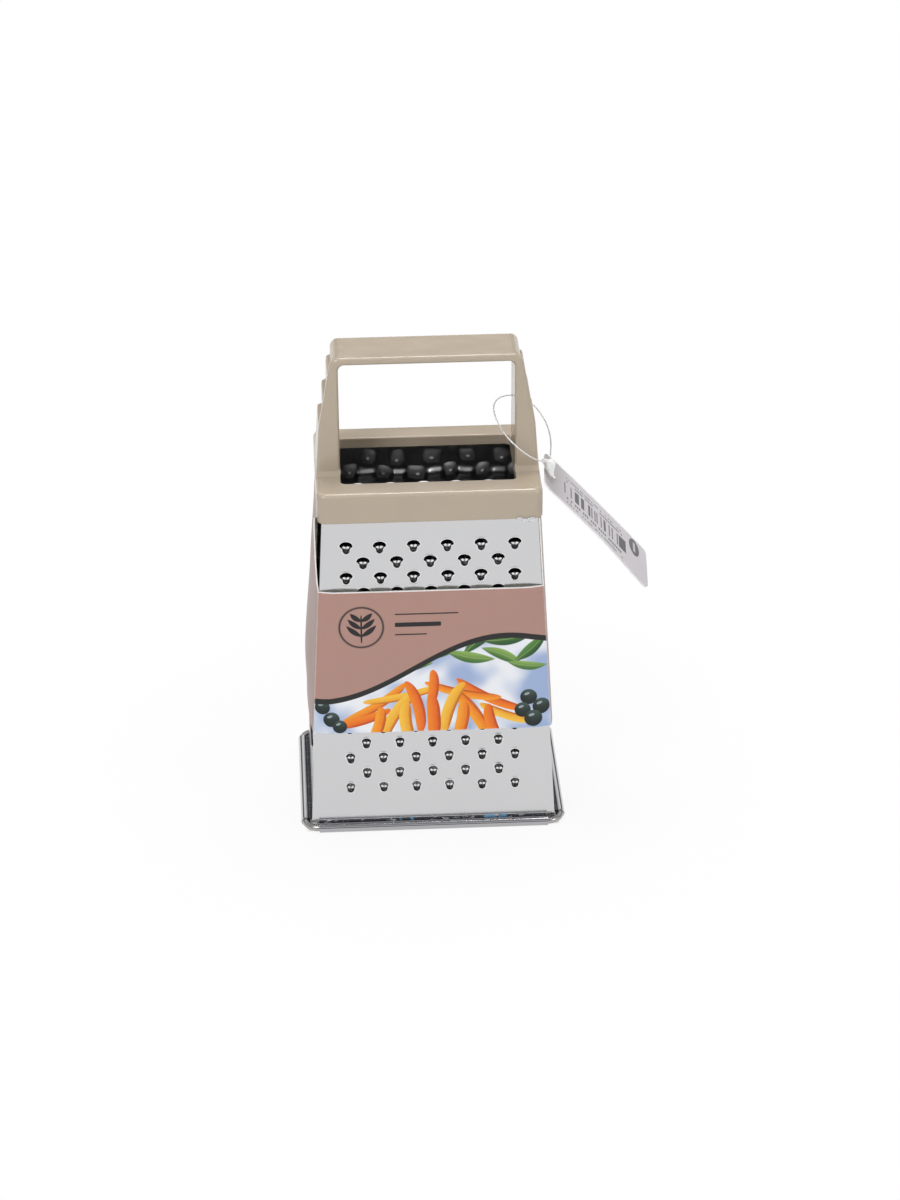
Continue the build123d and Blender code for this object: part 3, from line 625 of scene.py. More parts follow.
class SleevePrint(Finish):
    """The sleeve's print: a dusty pink ground over a curved band of leaves, shreds and berries,
    and a line ornament on the pink."""

    def __init__(self, name):
        super().__init__(name, PINK, 0.36, IOR=1.45)
        self.x, _, self.z = self.parts(self.place)

    def shape(self, centre_x, centre_z, turn, length, width, bend=0.0, p=2.0, q=2.0):
        """The mask of a printed shape, and the ways across and along it."""
        return self.group(MOTIF, X=self.x, Z=self.z, Centre_X=centre_x, Centre_Z=centre_z,
                          Turn=math.radians(turn), Length=length, Width=width, Bend=bend, P=p, Q=q)

    def sky(self, flat):
        soft = self.put("ShaderNodeTexNoise", Vector=flat, Scale=0.07, Detail=1.0).outputs["Fac"]
        return self.blend(self.ramp(soft, 0.36, 0.62), (0.36, 0.47, 0.72), (0.9, 0.92, 0.96))

    def with_leaves(self, ground):
        for index, leaf in enumerate(LEAVES):
            mask, across, _ = self.shape(*leaf, p=2.0, q=1.0)
            green = self.blend(across, *GREENS[index % 2])
            rib = self.work_out("SUBTRACT", 1.0, self.ramp(self.away(across, 0.5), 0.02, 0.07))
            green = self.blend(self.times(rib, 0.5), green, (0.42, 0.55, 0.2))
            ground = self.blend(mask, ground, green)
        return ground

    def with_shreds(self, ground, flat):
        streaks = self.put("ShaderNodeTexNoise", Vector=flat, Scale=0.9, Detail=3.0,
                           Distortion=1.5).outputs["Fac"]
        for index, shred in enumerate(SHREDS):
            mask, across, _ = self.shape(*shred, p=3.5, q=2.0)
            deep, light = ORANGES[(index * 2 + (index < BACK_SHREDS)) % 3]
            warm = self.blend(across, deep, light)
            warm = self.blend(self.ramp(streaks, 0.35, 0.75, 0.0, 0.35), warm, light)
            shadow = self.times(mask, self.ramp(across, 0.22, 0.0, 0.0, 0.65))
            ground = self.blend(mask, ground, warm)
            ground = self.blend(shadow, ground, (0.42, 0.05, 0.004))
        return ground

    def with_berries(self, ground):
        for x, z, size in BERRIES:
            mask, across, along = self.shape(x, z, 35.0, size, size)
            skin = self.blend(self.times(across, along), (0.004, 0.012, 0.010), (0.06, 0.10, 0.085))
            glint = self.shape(x - size * 0.2, z + size * 0.4, 20.0, size * 0.34, size * 0.16)[0]
            skin = self.blend(self.times(glint, 0.7), skin, (0.45, 0.52, 0.58))
            ground = self.blend(mask, ground, skin)
        return ground

    def ornament(self):
        """A sprig in a ring, and three plain rules beside it."""
        x, z = SPRIG_RING
        ring, hollow = (self.shape(x, z, 0.0, radius, radius)[0] for radius in (7.2, 6.6))
        inked = self.work_out("SUBTRACT", ring, hollow)
        masks = [self.shape(x, z - 0.6, 90.0, 4.9, 0.28, p=6.0)[0]]
        for rise, reach in SPRIG_LEAVES:
            for turn, side in ((38.0, 1.0), (142.0, -1.0)):
                out = direction(math.radians(turn)) * reach * 0.95
                masks.append(self.shape(x + out.x, z + rise + out.y, turn, reach, 0.85, 0.3 * side, q=1.0)[0])
        for height, start, end, thick in RULES:
            middle, half = (start + end) / 2, (end - start) / 2
            masks.append(self.shape(middle, height, 0.0, half, thick, p=30.0, q=8.0)[0])
        for mask in masks:
            inked = self.work_out("MAXIMUM", inked, mask)
        return inked

    def front(self):
        # The band's upper edge is a slow wave that rises to the right, under a black line
        wave = self.work_out("SINE", self.work_out("MULTIPLY_ADD", self.x, 0.058, 0.35))
        edge = self.work_out("MULTIPLY_ADD", wave, 8.5, 58.5)
        edge = self.work_out("MULTIPLY_ADD", self.x, 0.08, edge)
        below = self.work_out("SUBTRACT", edge, self.z)
        flat = self.put("ShaderNodeCombineXYZ", X=self.x, Y=self.z).outputs[0]
        band = self.with_berries(self.with_shreds(self.with_leaves(self.sky(flat)), flat))
        band = self.blend(self.ramp(below, 1.9, 2.05), BLACK, band)
        above = self.blend(self.ornament(), PINK, BLACK)
        print_tone = self.blend(self.ramp(below, 0.0, 0.15), above, band)
        bare_edge = self.ramp(self.z, SLEEVE_FRONT_TOP - 0.34, SLEEVE_FRONT_TOP - 0.26)
        return self.blend(bare_edge, print_tone, (0.92, 0.90, 0.88))

    def printed(self):
        # The sides without print are a darker copy of the pink: painted shade
        plain = [channel * 0.7 for channel in PINK]
        is_front = self.work_out("GREATER_THAN", self.attribute("front_side"), 0.5)
        self.tone = self.blend(is_front, plain, self.front())
        worn = self.work_out("MULTIPLY_ADD", self.hairlines((1.0, 1.0, 0.4), 900.0, 0.45), 0.25, 0.35)
        worn = self.times(self.ramp(self.attribute("fold"), 0.84, 0.98), worn)
        self.tint(worn, (0.72, 0.66, 0.63))
        self.normal = self.bump(self.noise(2500.0, 2.0)["Fac"], 0.0002, 0.05)
        return self.done()


# The tag's rows of dashes: lower and upper edge across the tag, dashes in a millimetre, and the
# share that is left out
DASH_ROWS = [(4.6, 5.8, 1.3, 0.35), (7.0, 8.0, 1.9, 0.4), (-8.4, -6.9, 1.1, 0.38), (-11.2, -10.2, 1.7, 0.5)]


def tag_print_finish(name):
    """The tag's printed side: a ladder of uneven bars, rows of dashes and a dark oval."""
    paper, ink = (0.60, 0.565, 0.60), (0.02, 0.02, 0.022)
    tag = Finish(name, paper, 0.32, IOR=1.46)
    here = tag.put("ShaderNodeUVMap", {"uv_map": "print"}).outputs[0]
    run, across, _ = tag.put("ShaderNodeSeparateXYZ", Vector=here).outputs

    def chance(step):
        return tag.put("ShaderNodeTexWhiteNoise", {"noise_dimensions": "1D"}, W=step).outputs["Value"]

    # Painted shade where the card bends up to its hole, and a white margin on the far side: a painted
    # highlight
    tag.tint(tag.ramp(run, 1.0, 15.0, 0.6, 0.0), (0.22, 0.20, 0.19))
    tag.tint(tag.ramp(across, 11.9, 12.1), (0.9, 0.89, 0.88))
    bars = tag.work_out("GREATER_THAN", chance(tag.work_out("FLOOR", tag.times(run, 2.1))), 0.46)
    tag.tint(tag.times(bars, tag.window(run, 9.0, 38.5), tag.window(across, -5.0, 3.0)), ink)
    for low, high, pace, cut in DASH_ROWS:
        paced = tag.times(run, pace)
        step = tag.work_out("ADD", tag.work_out("FLOOR", paced), low * 7.0)
        dash = tag.times(tag.work_out("GREATER_THAN", chance(step), cut),
                         tag.window(tag.work_out("FRACT", paced), 0.12, 0.8, 0.04),
                         tag.window(run, 10.0, 36.0), tag.window(across, low, high))
        tag.tint(dash, ink)
    along = tag.work_out("DIVIDE", tag.work_out("SUBTRACT", run, 41.8), 2.4)
    over = tag.work_out("DIVIDE", tag.work_out("SUBTRACT", across, 5.5), 5.6)
    reach = tag.work_out("ADD", tag.times(along, along), tag.times(over, over))
    tag.tint(tag.ramp(reach, 1.05, 0.95), ink)
    tag.tint(tag.times(tag.window(along, -0.22, 0.22, 0.05), tag.window(over, -0.6, 0.6, 0.05), 0.8), paper)
    tag.normal = tag.bump(tag.noise(2300.0, 2.0)["Fac"], 0.0002, 0.05)
    return tag.done()


STEEL = outside_steel("stamped_steel")
TOOTHED = outside_steel("stamped_steel_toothed", tooth_domes=0.00022)
# The insides are darker copies of the outside steel: painted shade inside the box
STEEL_INSIDE = inside_steel("stamped_steel_inside", (0.42, 0.42, 0.425), 0.1)
PITTED_INSIDE = inside_steel("stamped_steel_pitted", (0.5, 0.5, 0.505), 0.12, tooth_domes=-0.0012)
DENTED_INSIDE = inside_steel("stamped_steel_dented", (0.36, 0.36, 0.365), 0.32, dented=True)
WIRE = bright_steel("rim_wire_steel", (0.42, 0.41, 0.40), 0.24).done()
MOULDED = moulded_finish("beige_moulding", (0.47, 0.395, 0.308))
PRINTED = SleevePrint("sleeve_print").printed()
BOARD = card_finish("sleeve_board_back", (0.80, 0.79, 0.70))
BOARD_EDGE = card_finish("sleeve_board_edge", (0.92, 0.90, 0.88))
TAG_PRINT = tag_print_finish("tag_print")
TAG_CARD = card_finish("tag_card", (0.86, 0.85, 0.86), 0.5)
NYLON = clear_finish("clear_filament", (0.97, 0.97, 0.97), 0.5, 0.0, 0.25, bend=1.2)
CLEAR = clear_finish("clear_lock", (0.97, 0.97, 0.97), 0.22, 0.0, 0.08, bend=1.35, heart=(0.5, 0.5, 0.51))
FILM = clear_finish("clear_film", (0.92, 0.93, 0.94), 0.12, 0.5, 0.5)


# Stamped tiles

def tile_object(name, points, faces, shade, work, spread=None):
    """A tile with its shades, how much each point was worked, and how far it moves as it widens."""
    tile = piece_from(name, points, faces)
    note(tile.data, "shade", shade)
    note(tile.data, "work", work)
    spread = spread or [(0.0, 0.0, 0.0)] * len(points)
    note(tile.data, "spread", [number * MM for vector in spread for number in vector], "FLOAT_VECTOR")
    return tile


def tile_border(outline, pitch, step):
    """A tile's own border: a point for each point of an outline in it, some of them in corners."""
    tiny = 1e-6
    border = []
    for u, v in outline:
        reach = min(pitch / 2 / max(abs(u), tiny), step / 2 / max(abs(v), tiny))
        border.append((u * reach, v * reach))
    for right, up in ((1, 1), (-1, 1), (-1, -1), (1, -1)):
        target = Vector((right * pitch / 2, up * step / 2))
        nearest = min(range(len(border)), key=lambda index: (Vector(border[index]) - target).length)
        border[nearest] = tuple(target)
    return border


def whole_form(form):
    """Both halves of a tooth's mouth, of its hood's foot and of its hood's lip."""
    mouth, foot, lip = form
    upper = mouth + [(-u, v) for u, v in reversed(mouth[:-1])]
    lower = [(-u, v) for u, v in foot] + list(reversed(foot[:-1]))
    edge = [(-u, v, w) for u, v, w in lip] + list(reversed(lip[:-1]))
    return upper, lower, edge


def glint(tone, apart):
    """A bright tone only at some distance from the middle and the ends of the hood."""
    if tone >= 0:
        return tone
    if apart < 0.2 or apart > 1.05:
        return 0.8
    return -0.3 if apart < 0.45 else tone


def stamped_tile(name, pitch, step, narrow, wide, rings, foot_tone, levels):
    """One tile of a stamped side, centred on its tooth: u across, v up, w out of the sheet.

    narrow and wide are the tooth at the foot and at the top of the side. rings lie round its
    outline, with their gap, their rise and their shade. levels are the hood's turns in degrees
    from its foot to its lip, with their shades: 1 is painted shade, 0 plain and -1 painted highlight.
    """
    (upper, lower, edge), (wide_upper, wide_lower, wide_edge) = whole_form(narrow), whole_form(wide)
    outline, wide_outline = upper + lower, wide_upper + wide_lower
    count, mouth_count = len(outline), len(upper)
    points, spread, shade, work = [], [], [], []

    def add(point, wide_point, tone, worked):
        points.append(point)
        spread.append([second - first for first, second in zip(point, wide_point)])
        shade.append(tone)
        work.append(worked)
        return len(points) - 1

    def outward(line, index):
        before, after = Vector(line[index - 1]), Vector(line[(index + 1) % count])
        along = (after - before).normalized()
        return Vector((along.y, -along.x))

    for ring, (gap, rise, tone) in enumerate(rings):
        worked = 1.0 - ring / (len(rings) - 1)
        for index in range(count):
            drawn = index < mouth_count or gap
            spots = []
            for line in (outline, wide_outline):
                spot = Vector(line[index]) + outward(line, index) * gap
                spots.append((spot.x, spot.y, rise if drawn else 0.0))
            add(*spots, tone if drawn else foot_tone, worked)
    for u, v in tile_border(outline, pitch, step):
        add((u, v, 0.0), (u, v, 0.0), 0.0, 0.0)
    faces = ring_faces(len(rings), count)
    # The hood rises from its foot and turns over the mouth at its lip
    inner = list(range(mouth_count, count))
    left, right = mouth_count - 1, 0
    for turn, tone in levels:
        lean_in, rise = 1 - math.cos(math.radians(turn)), math.sin(math.radians(turn))
        outer = []
        for index in range(len(lower)):
            forms = []
            for foot, lip in ((lower, edge), (wide_lower, wide_edge)):
                (u, v), (lip_u, lip_v, lip_w) = foot[index], lip[index]
                forms.append((u + (lip_u - u) * lean_in, v + (lip_v - v) * lean_in, lip_w * rise))
            outer.append(add(*forms, glint(tone, abs(forms[1][0])), 1.0))
        faces += [(left, inner[0], outer[0]), *grid_faces([inner, outer]), (inner[-1], right, outer[-1])]
        inner = outer
    return tile_object(name, points, faces, shade, work, spread)


def burr_tile(pitch, step):
    """A burst point: a low cone with a ragged mouth, in its tile."""
    count = 12
    # Radius, rise and shade
    rings = [(0.42, 0.55, 0.1), (0.62, 0.42, 0.8), (0.85, 0.12, 0.6), (1.05, 0.0, 0.0)]
    circle = [(math.cos(2 * math.pi * index / count), math.sin(2 * math.pi * index / count))
              for index in range(count)]
    points, shade = [], []
    for ring, (radius, rise, tone) in enumerate(rings):
        for index, (u, v) in enumerate(circle):
            ragged = (0.1 if index % 3 == 0 else -0.08) if ring == 0 else 0.0
            points.append((radius * u, radius * v, rise + ragged))
            shade.append(tone)
    work = [1.0] * len(points) + [0.0] * count
    points += [(u, v, 0.0) for u, v in tile_border(circle, pitch, step)]
    return tile_object("right_side_tile", points, ring_faces(len(rings), count), shade + [0.0] * count, work)


def slot_tile(pitch, step):
    """A slicing slot with a raised blade along its lower edge."""
    half, rise, end = 11.8, 1.3, 1.2
    us = [-pitch / 2, -half - end, -half, -half * 0.5, 0.0, half * 0.5, half, half + end, pitch / 2]
    vs = [-step / 2, -3.4, -2.3, -1.3]
    # The blade's rows, each with its place up and its rise off the sheet
    blade_rows = ((-0.4, 0.32), (0.2, 0.66), (0.42, 0.74))
    blade = range(2, 7)
    points = []

    def add(u, v, w=0.0):
        points.append((u, v, w))
        return len(points) - 1

    lower = [[add(u, v) for u in us] for v in vs]
    faces = grid_faces(lower)
    foot = lower[-1]
    faces += grid_faces([[foot[column] for column in blade]]
                        + [[add(us[column], v, w) for column in blade] for v, w in blade_rows])
    for left, right in ((0, 1), (7, 8)):
        rows = [[foot[left], foot[right]]] + [[add(us[left], v), add(us[right], v)] for v in (0.0, rise)]
        faces += grid_faces(rows)
    for left, right, outer in ((1, 2, 1), (6, 7, 7)):
        faces.append((foot[left], foot[right], add(us[outer], 0.0)))
    faces += grid_faces([[add(u, v) for u in us] for v in (rise, step / 2)])
    return tile_object("left_side_tile", points, faces, [0.0] * len(points), [0.0] * len(points))


def row_tree():
    """Geometry nodes that lay a tile out in staggered rows, widen its mouths with height and
    shift each tooth a little."""
    tree = bpy.data.node_groups.new("stamped_rows", "GeometryNodeTree")
    sockets = {
        "Geometry": ("Geometry",),
        "Float": ("Pitch", "Row Step", "First Row", "Widen From", "Widen To", "Unevenness"),
        "Int": ("Columns", "Rows", "Between Columns", "Between Rows"),
        "Material": ("Steel",),
    }
    for kind, labels in sockets.items():
        for label in labels:
            tree.interface.new_socket(label, in_out="INPUT", socket_type="NodeSocket" + kind)
    tree.interface.new_socket("Geometry", in_out="OUTPUT", socket_type="NodeSocketGeometry")
    net = Net(tree)
    given = net.put("NodeGroupInput").outputs
    places = net.put("GeometryNodeJoinGeometry")
    double = net.times(given["Row Step"], 2.0)
    for columns, rows, start in (("Columns", "Rows", 0.0), ("Between Columns", "Between Rows", 1.0)):
        width = net.times(given["Pitch"], net.work_out("SUBTRACT", given[columns], 1.0))
        length = net.times(double, net.work_out("SUBTRACT", given[rows], 1.0))
        grid = net.put("GeometryNodeMeshGrid", Size_X=width, Size_Y=length,
                       Vertices_X=given[columns], Vertices_Y=given[rows])
        middle = net.work_out("MULTIPLY_ADD", length, 0.5, given["First Row"])
        middle = net.work_out("MULTIPLY_ADD", given["Row Step"], start, middle)
        shift = net.put("ShaderNodeCombineXYZ", Y=middle).outputs[0]
        moved = net.put("GeometryNodeTransform", Geometry=grid.outputs["Mesh"], Translation=shift)
        net.feed(places.inputs[0], moved.outputs[0])
    placed = net.put("GeometryNodeInstanceOnPoints", Points=places.outputs[0], Instance=given["Geometry"])
    real = net.put("GeometryNodeRealizeInstances", Geometry=placed.outputs[0])

    here = net.put("GeometryNodeInputPosition").outputs[0]
    height = net.put("ShaderNodeSeparateXYZ", Vector=here).outputs[1]
    share = net.ramp(height, given["Widen From"], given["Widen To"])
    spread = net.put("GeometryNodeInputNamedAttribute", {"data_type": "FLOAT_VECTOR"}, Name="spread")
    wider = net.vectors("SCALE", spread.outputs[0], share)
    work = net.put("GeometryNodeInputNamedAttribute", {"data_type": "FLOAT"}, Name="work")
    noise = net.put("ShaderNodeTexNoise", Vector=here, Scale=95.0, Detail=0.0).outputs["Color"]
    uneven = net.vectors("MULTIPLY", net.vectors("SUBTRACT", noise, (0.5, 0.5, 0.5)), (1.0, 1.0, 0.3))
    uneven = net.vectors("SCALE", uneven, net.times(work.outputs[0], given["Unevenness"]))
    shaped = net.put("GeometryNodeSetPosition", Geometry=real.outputs[0],
                     Offset=net.vectors("ADD", wider, uneven))
    merged = net.put("GeometryNodeMergeByDistance", Geometry=shaped.outputs[0], Distance=0.00001)
    coated = net.put("GeometryNodeSetMaterial", Geometry=merged.outputs[0], Material=given["Steel"])
    net.feed(net.put("NodeGroupOutput").inputs[0], coated.outputs[0])
    return tree


ROW_TREE = row_tree()


def rows_of(tile, unevenness, pitch, row_step, first_row, columns, rows, between_rows):
    """Lays a tile out with geometry nodes and returns its plain mesh object."""
    sizes = {
        "Pitch": pitch * MM, "Row Step": row_step * MM, "First Row": first_row * MM,
        "Columns": columns, "Rows": rows, "Between Columns": columns - 1, "Between Rows": between_rows,
        "Widen From": WIDEN_FROM * MM, "Widen To": WIDEN_TO * MM, "Unevenness": unevenness * MM,
        "Steel": STEEL,
    }
    modifier = tile.modifiers.new("rows", "NODES")
    modifier.node_group = ROW_TREE
    for item in ROW_TREE.interface.items_tree:
        if item.in_out == "INPUT" and item.name in sizes:
            modifier[item.identifier] = sizes[item.name]
    return baked(tile)


# The steel sides

def rolled_section(foot_half, rim_half, lean):
    """Outer line of a side's foot: round the crease and round the wire."""
    crease_parts, roll_parts = 8, 30
    up, out = Vector((-math.sin(lean), math.cos(lean))), direction(lean)
    inner = CREASE_RADIUS - SHEET / 2
    roll = Vector((rim_half - ROLL_RADIUS, ROLL_HEIGHT))
    start = Vector((foot_half, CREASE_HEIGHT)) + out * inner - roll
    # The crease touches the roll and the sheet
    reach = ROLL_RADIUS + inner
    along = start.dot(up)
    rise = -along + math.sqrt(along * along - start.length_squared + reach * reach)
    crease = roll + start + up * rise
    turn = math.atan2(crease.y - roll.y, crease.x - roll.x)
    points = [crease + direction(math.pi + lean + (turn - lean) * index / crease_parts) * inner
              for index in range(crease_parts + 1)]
    for index in range(1, roll_parts + 1):
        spot = roll + direction(turn - ROLL_TURN * index / roll_parts) * ROLL_RADIUS
        spot.y = max(spot.y, TABLE_GAP)
        points.append(spot)
    return points


def steel_side(name, node, outward, tile, layout, unevenness, outside=STEEL, inside=STEEL_INSIDE):
    """One side: its stamped tiles, the plain sheet round them, and its rolled foot."""
    wide_face = outward[1] != 0
    foot_half, rim_half, lean = (
        (FOOT_HALF_DEPTH, BASE_DEPTH / 2, FACE_LEAN) if wide_face
        else (FOOT_HALF_WIDTH, BASE_WIDTH / 2, SIDE_LEAN)
    )
    roll_half = (BASE_WIDTH if wide_face else BASE_DEPTH) / 2 - ROLL_CUT_BACK
    section = rolled_section(foot_half, rim_half, lean)
    out, vertical = Vector(outward), Vector((0, 0, 1))
    across = vertical.cross(out)
    normal = out * math.cos(lean) + vertical * math.sin(lean)
    upward = normal.cross(across)
    origin = out * foot_half + vertical * CREASE_HEIGHT
    points, faces, rim = [], [], []

    def add(point, share=0.0):
        points.append(point)
        rim.append(share)
        return len(points) - 1

    def on_sheet(u, v):
        return add(origin + across * u + upward * v)

    def sheet_patch(low_left, low_right, high_right, high_left, low, high, parts=1):
        """Plain sheet between two heights, in parts side by side."""
        for index in range(parts):
            a, b = index / parts, (index + 1) / parts
            faces.append((
                on_sheet(low_left + (low_right - low_left) * a, low),
                on_sheet(low_left + (low_right - low_left) * b, low),
                on_sheet(high_left + (high_right - high_left) * b, high),
                on_sheet(high_left + (high_right - high_left) * a, high),
            ))

    def patches_beside(low_inner, low_outer, high_outer, high_inner, low, high):
        sheet_patch(-low_outer, -low_inner, -high_inner, -high_outer, low, high)
        sheet_patch(low_inner, low_outer, high_outer, high_inner, low, high)

    def edge_at(v):
        height = CREASE_HEIGHT + v * math.cos(lean)
        return half_width(height) if wide_face else half_depth(height) - SHEET - SEAM

    def along_sheet(height):
        return (height - CREASE_HEIGHT) / math.cos(lean)

    bend, notch, top = along_sheet(section[0].y), along_sheet(CORNER_NOTCH), along_sheet(SHEET_TOP)
    first_row, row_step, between = layout["first_row"], layout["row_step"], layout["between_rows"]
    levels = [first_row + (index - 0.5) * row_step for index in range(layout["rows"] + between + 1)]
    if not between:
        levels = [first_row + (index * 2 - 1) * row_step for index in range(layout["rows"] + 1)]
    low, high = levels[0], levels[-1]
    for index, (lower, upper) in enumerate(zip(levels, levels[1:])):
        fewer = between and index % 2
        inner = (layout["columns"] - bool(fewer)) * layout["pitch"] / 2
        patches_beside(inner, edge_at(lower), edge_at(upper), inner, lower, upper)
    sheet_patch(-edge_at(high), edge_at(high), edge_at(top), -edge_at(top), high, top, parts=6)
    sheet_patch(-roll_half, roll_half, roll_half, -roll_half, bend, low, parts=12)
    # Beside the roll the sheet ends higher, at the notch
    for side in (-1, 1):
        corners = [(side * roll_half, notch), (side * edge_at(notch), notch),
                   (side * edge_at(low), low), (side * roll_half, low)]
        if side < 0:
            corners = [corners[1], corners[0], corners[3], corners[2]]
        faces.append(tuple(on_sheet(u, v) for u, v in corners))
    roll_parts = 36
    faces += grid_faces([
        [add(across * (-roll_half + 2 * roll_half * part / roll_parts) + out * spot.x + vertical * spot.y,
             (step + 1) / (len(section) + 1)) for step, spot in enumerate(section)]
        for part in range(roll_parts + 1)
    ])
    side = piece_from(name, points, faces)
    note(side.data, "rim", rim)

    # The tiles go on the same sheet
    plane = Matrix((across, upward, normal)).transposed().to_4x4()
    plane.translation = origin * MM
    tiles = rows_of(tile, unevenness, **layout)
    tiles.data.transform(plane)
    joined = bmesh.new()
    joined.from_mesh(side.data)
    joined.verts.layers.float.new("shade")
    joined.from_mesh(tiles.data)
    bmesh.ops.remove_doubles(joined, verts=joined.verts, dist=0.000012)
    joined.to_mesh(side.data)
    joined.free()
    bpy.data.objects.remove(tiles)
    side.data.materials.clear()
    for material in (outside, inside, outside):
        side.data.materials.append(material)
    for face in side.data.polygons:
        face.material_index = 0
    give_wall(side, SHEET - 0.02)
    shade_smooth(side, 42.0)
    hand_over(side, BODY, node)


# Right halves of a tooth's mouth, of its hood's foot and of its hood's lip
TOOTH = (
    [(1.35, 0.15), (1.42, 0.40), (1.36, 0.72), (1.14, 1.02), (0.82, 1.25), (0.43, 1.40), (0.0, 1.45)],
    [(1.18, -0.12), (1.06, -0.50), (1.07, -1.05), (0.92, -1.58), (0.52, -1.95), (0.0, -2.08)],
    [(1.16, 0.24, 0.16), (1.00, 0.46, 0.42), (0.86, 0.62, 0.74), (0.58, 0.74, 0.92), (0.28, 0.66, 0.84),
     (0.0, 0.60, 0.78)],
)
WIDE_TOOTH = (
    [(1.95, 0.20), (2.03, 0.50), (1.93, 0.90), (1.62, 1.30), (1.15, 1.62), (0.60, 1.82), (0.0, 1.88)],
    [(1.50, -0.10), (1.12, -0.45), (1.08, -1.05), (0.95, -1.60), (0.54, -2.02), (0.0, -2.16)],
    [(1.48, 0.24, 0.12), (1.16, 0.46, 0.36), (0.98, 0.66, 0.74), (0.64, 0.78, 0.95), (0.28, 0.66, 0.86),
     (0.0, 0.58, 0.80)],
)
# The teeth's shades are painted: shade at the mouth and over the hood, highlight round it and on the lip
TOOTH_RINGS = [(0.0, -0.05, 0.9), (0.07, 0.05, -0.7), (0.22, 0.07, -0.5), (0.42, 0.03, 0.0)]
TOOTH_LEVELS = [(18, 1.0), (36, 1.0), (54, 1.0), (71, 1.0), (79, -1.0), (90, -1.0)]
SCOOP = (
    [(2.60, 0.65), (2.72, 1.10), (2.60, 1.65), (2.22, 2.15), (1.60, 2.52), (0.84, 2.74), (0.0, 2.80)],
    [(2.50, -0.10), (2.30, -0.90), (1.88, -1.65), (1.30, -2.22), (0.66, -2.54), (0.0, -2.64)],
    [(2.38, 0.62, 0.70), (2.02, 0.60, 1.22), (1.55, 0.60, 1.56), (1.04, 0.62, 1.76), (0.52, 0.64, 1.85),
     (0.0, 0.64, 1.88)],
)
# The scoops' shades are painted: shade at the mouth's edge and on the hood, a highlight round the mouth
SCOOP_RINGS = [(0.0, -0.08, 0.3), (0.12, 0.06, -0.4), (0.45, 0.08, 0.0), (1.0, 0.03, 0.0)]
SCOOP_LEVELS = [(18, 0.05), (36, 0.0), (54, 0.0), (72, 0.0), (90, 0.1)]


def front_side():
    tile = stamped_tile("front_side_tile", TEETH["pitch"], TEETH["row_step"], TOOTH, WIDE_TOOTH,
                        TOOTH_RINGS, 0.9, TOOTH_LEVELS)
    steel_side("front_side", "front_panel", (0, -1, 0), tile, TEETH, 0.5, TOOTHED, PITTED_INSIDE)


def back_side():
    tile = stamped_tile("back_side_tile", SCOOPS["pitch"], SCOOPS["row_step"], SCOOP, SCOOP,
                        SCOOP_RINGS, 0.2, SCOOP_LEVELS)
    steel_side("back_side", "back_panel", (0, 1, 0), tile, SCOOPS, 0.4, STEEL, DENTED_INSIDE)


def left_side():
    tile = slot_tile(SLOTS["pitch"], 2 * SLOTS["row_step"])
    steel_side("left_side", "left_panel", (-1, 0, 0), tile, SLOTS, 0.0)


def right_side():
    tile = burr_tile(BURRS["pitch"], BURRS["row_step"])
    steel_side("right_side", "right_panel", (1, 0, 0), tile, BURRS, 0.3)


# The card sleeve

# Shares of its height, and how far its sides bulge there as a share of the most
SLEEVE_BULGE_SHARES = [(0.0, 0.45), (0.24, 1.0), (0.67, 0.55), (1.0, 0.05)]


def bulge_at(height):
    share = (height - SLEEVE_FOOT) / (SLEEVE_TOP - SLEEVE_FOOT)
    for (low, first), (high, second) in zip(SLEEVE_BULGE_SHARES, SLEEVE_BULGE_SHARES[1:]):
        if share <= high:
            return first + (second - first) * smooth_step(low, high, share)
    return SLEEVE_BULGE_SHARES[-1][1]


def sleeve_ring(height):
    """Outer points of the sleeve at a height, side by side: front, right, back and left."""
    width, depth = half_width(height), half_depth(height)
    corner_x, corner_y = width + CARD_GAP + CARD, depth + CARD_GAP + CARD
    knee_x, knee_y = width - SLEEVE_KNEE, depth - SLEEVE_KNEE
    front, side, back = depth + 1.15 + CARD, width + 0.75 + CARD, depth + 2.2 + CARD
    flat_bulge, right_bulge, left_bulge = 0.12, 0.7 * bulge_at(height), 1.9 * bulge_at(height)
    stand_off = 1.9 * min(1.0, max(0.0, (height - SLEEVE_FRONT_TOP) / 20.0)) ** 0.7

    def row(knee, flat, corner, corner_flat, bulge, parts=12):
        near_corner = ((corner + knee) / 2, (flat + corner_flat) / 2 + 0.08)
        spots = [(-corner, corner_flat), (-near_corner[0], near_corner[1])]
        for index in range(parts + 1):
            u = -knee + 2 * knee * index / parts
            spots.append((u, flat + bulge * (1 - (u / knee) ** 2)))
        return spots + [near_corner, (corner, corner_flat)]

    front_row = [(u, -d) for u, d in row(knee_x, front, corner_x, corner_y, flat_bulge)]
    right_row = [(d, u) for u, d in row(knee_y, side, corner_y, corner_x, right_bulge)]
    back_row = [(-u, d) for u, d in row(knee_x, back, corner_x, corner_y, flat_bulge)]
    left_row = [(-d, -u) for u, d in row(knee_y, side, corner_y, corner_x, left_bulge)]
    left_row = [(x - stand_off * smooth_step(-knee_y + 2.0, -corner_y, y), y) for x, y in left_row]
    return [front_row, right_row, back_row, left_row]


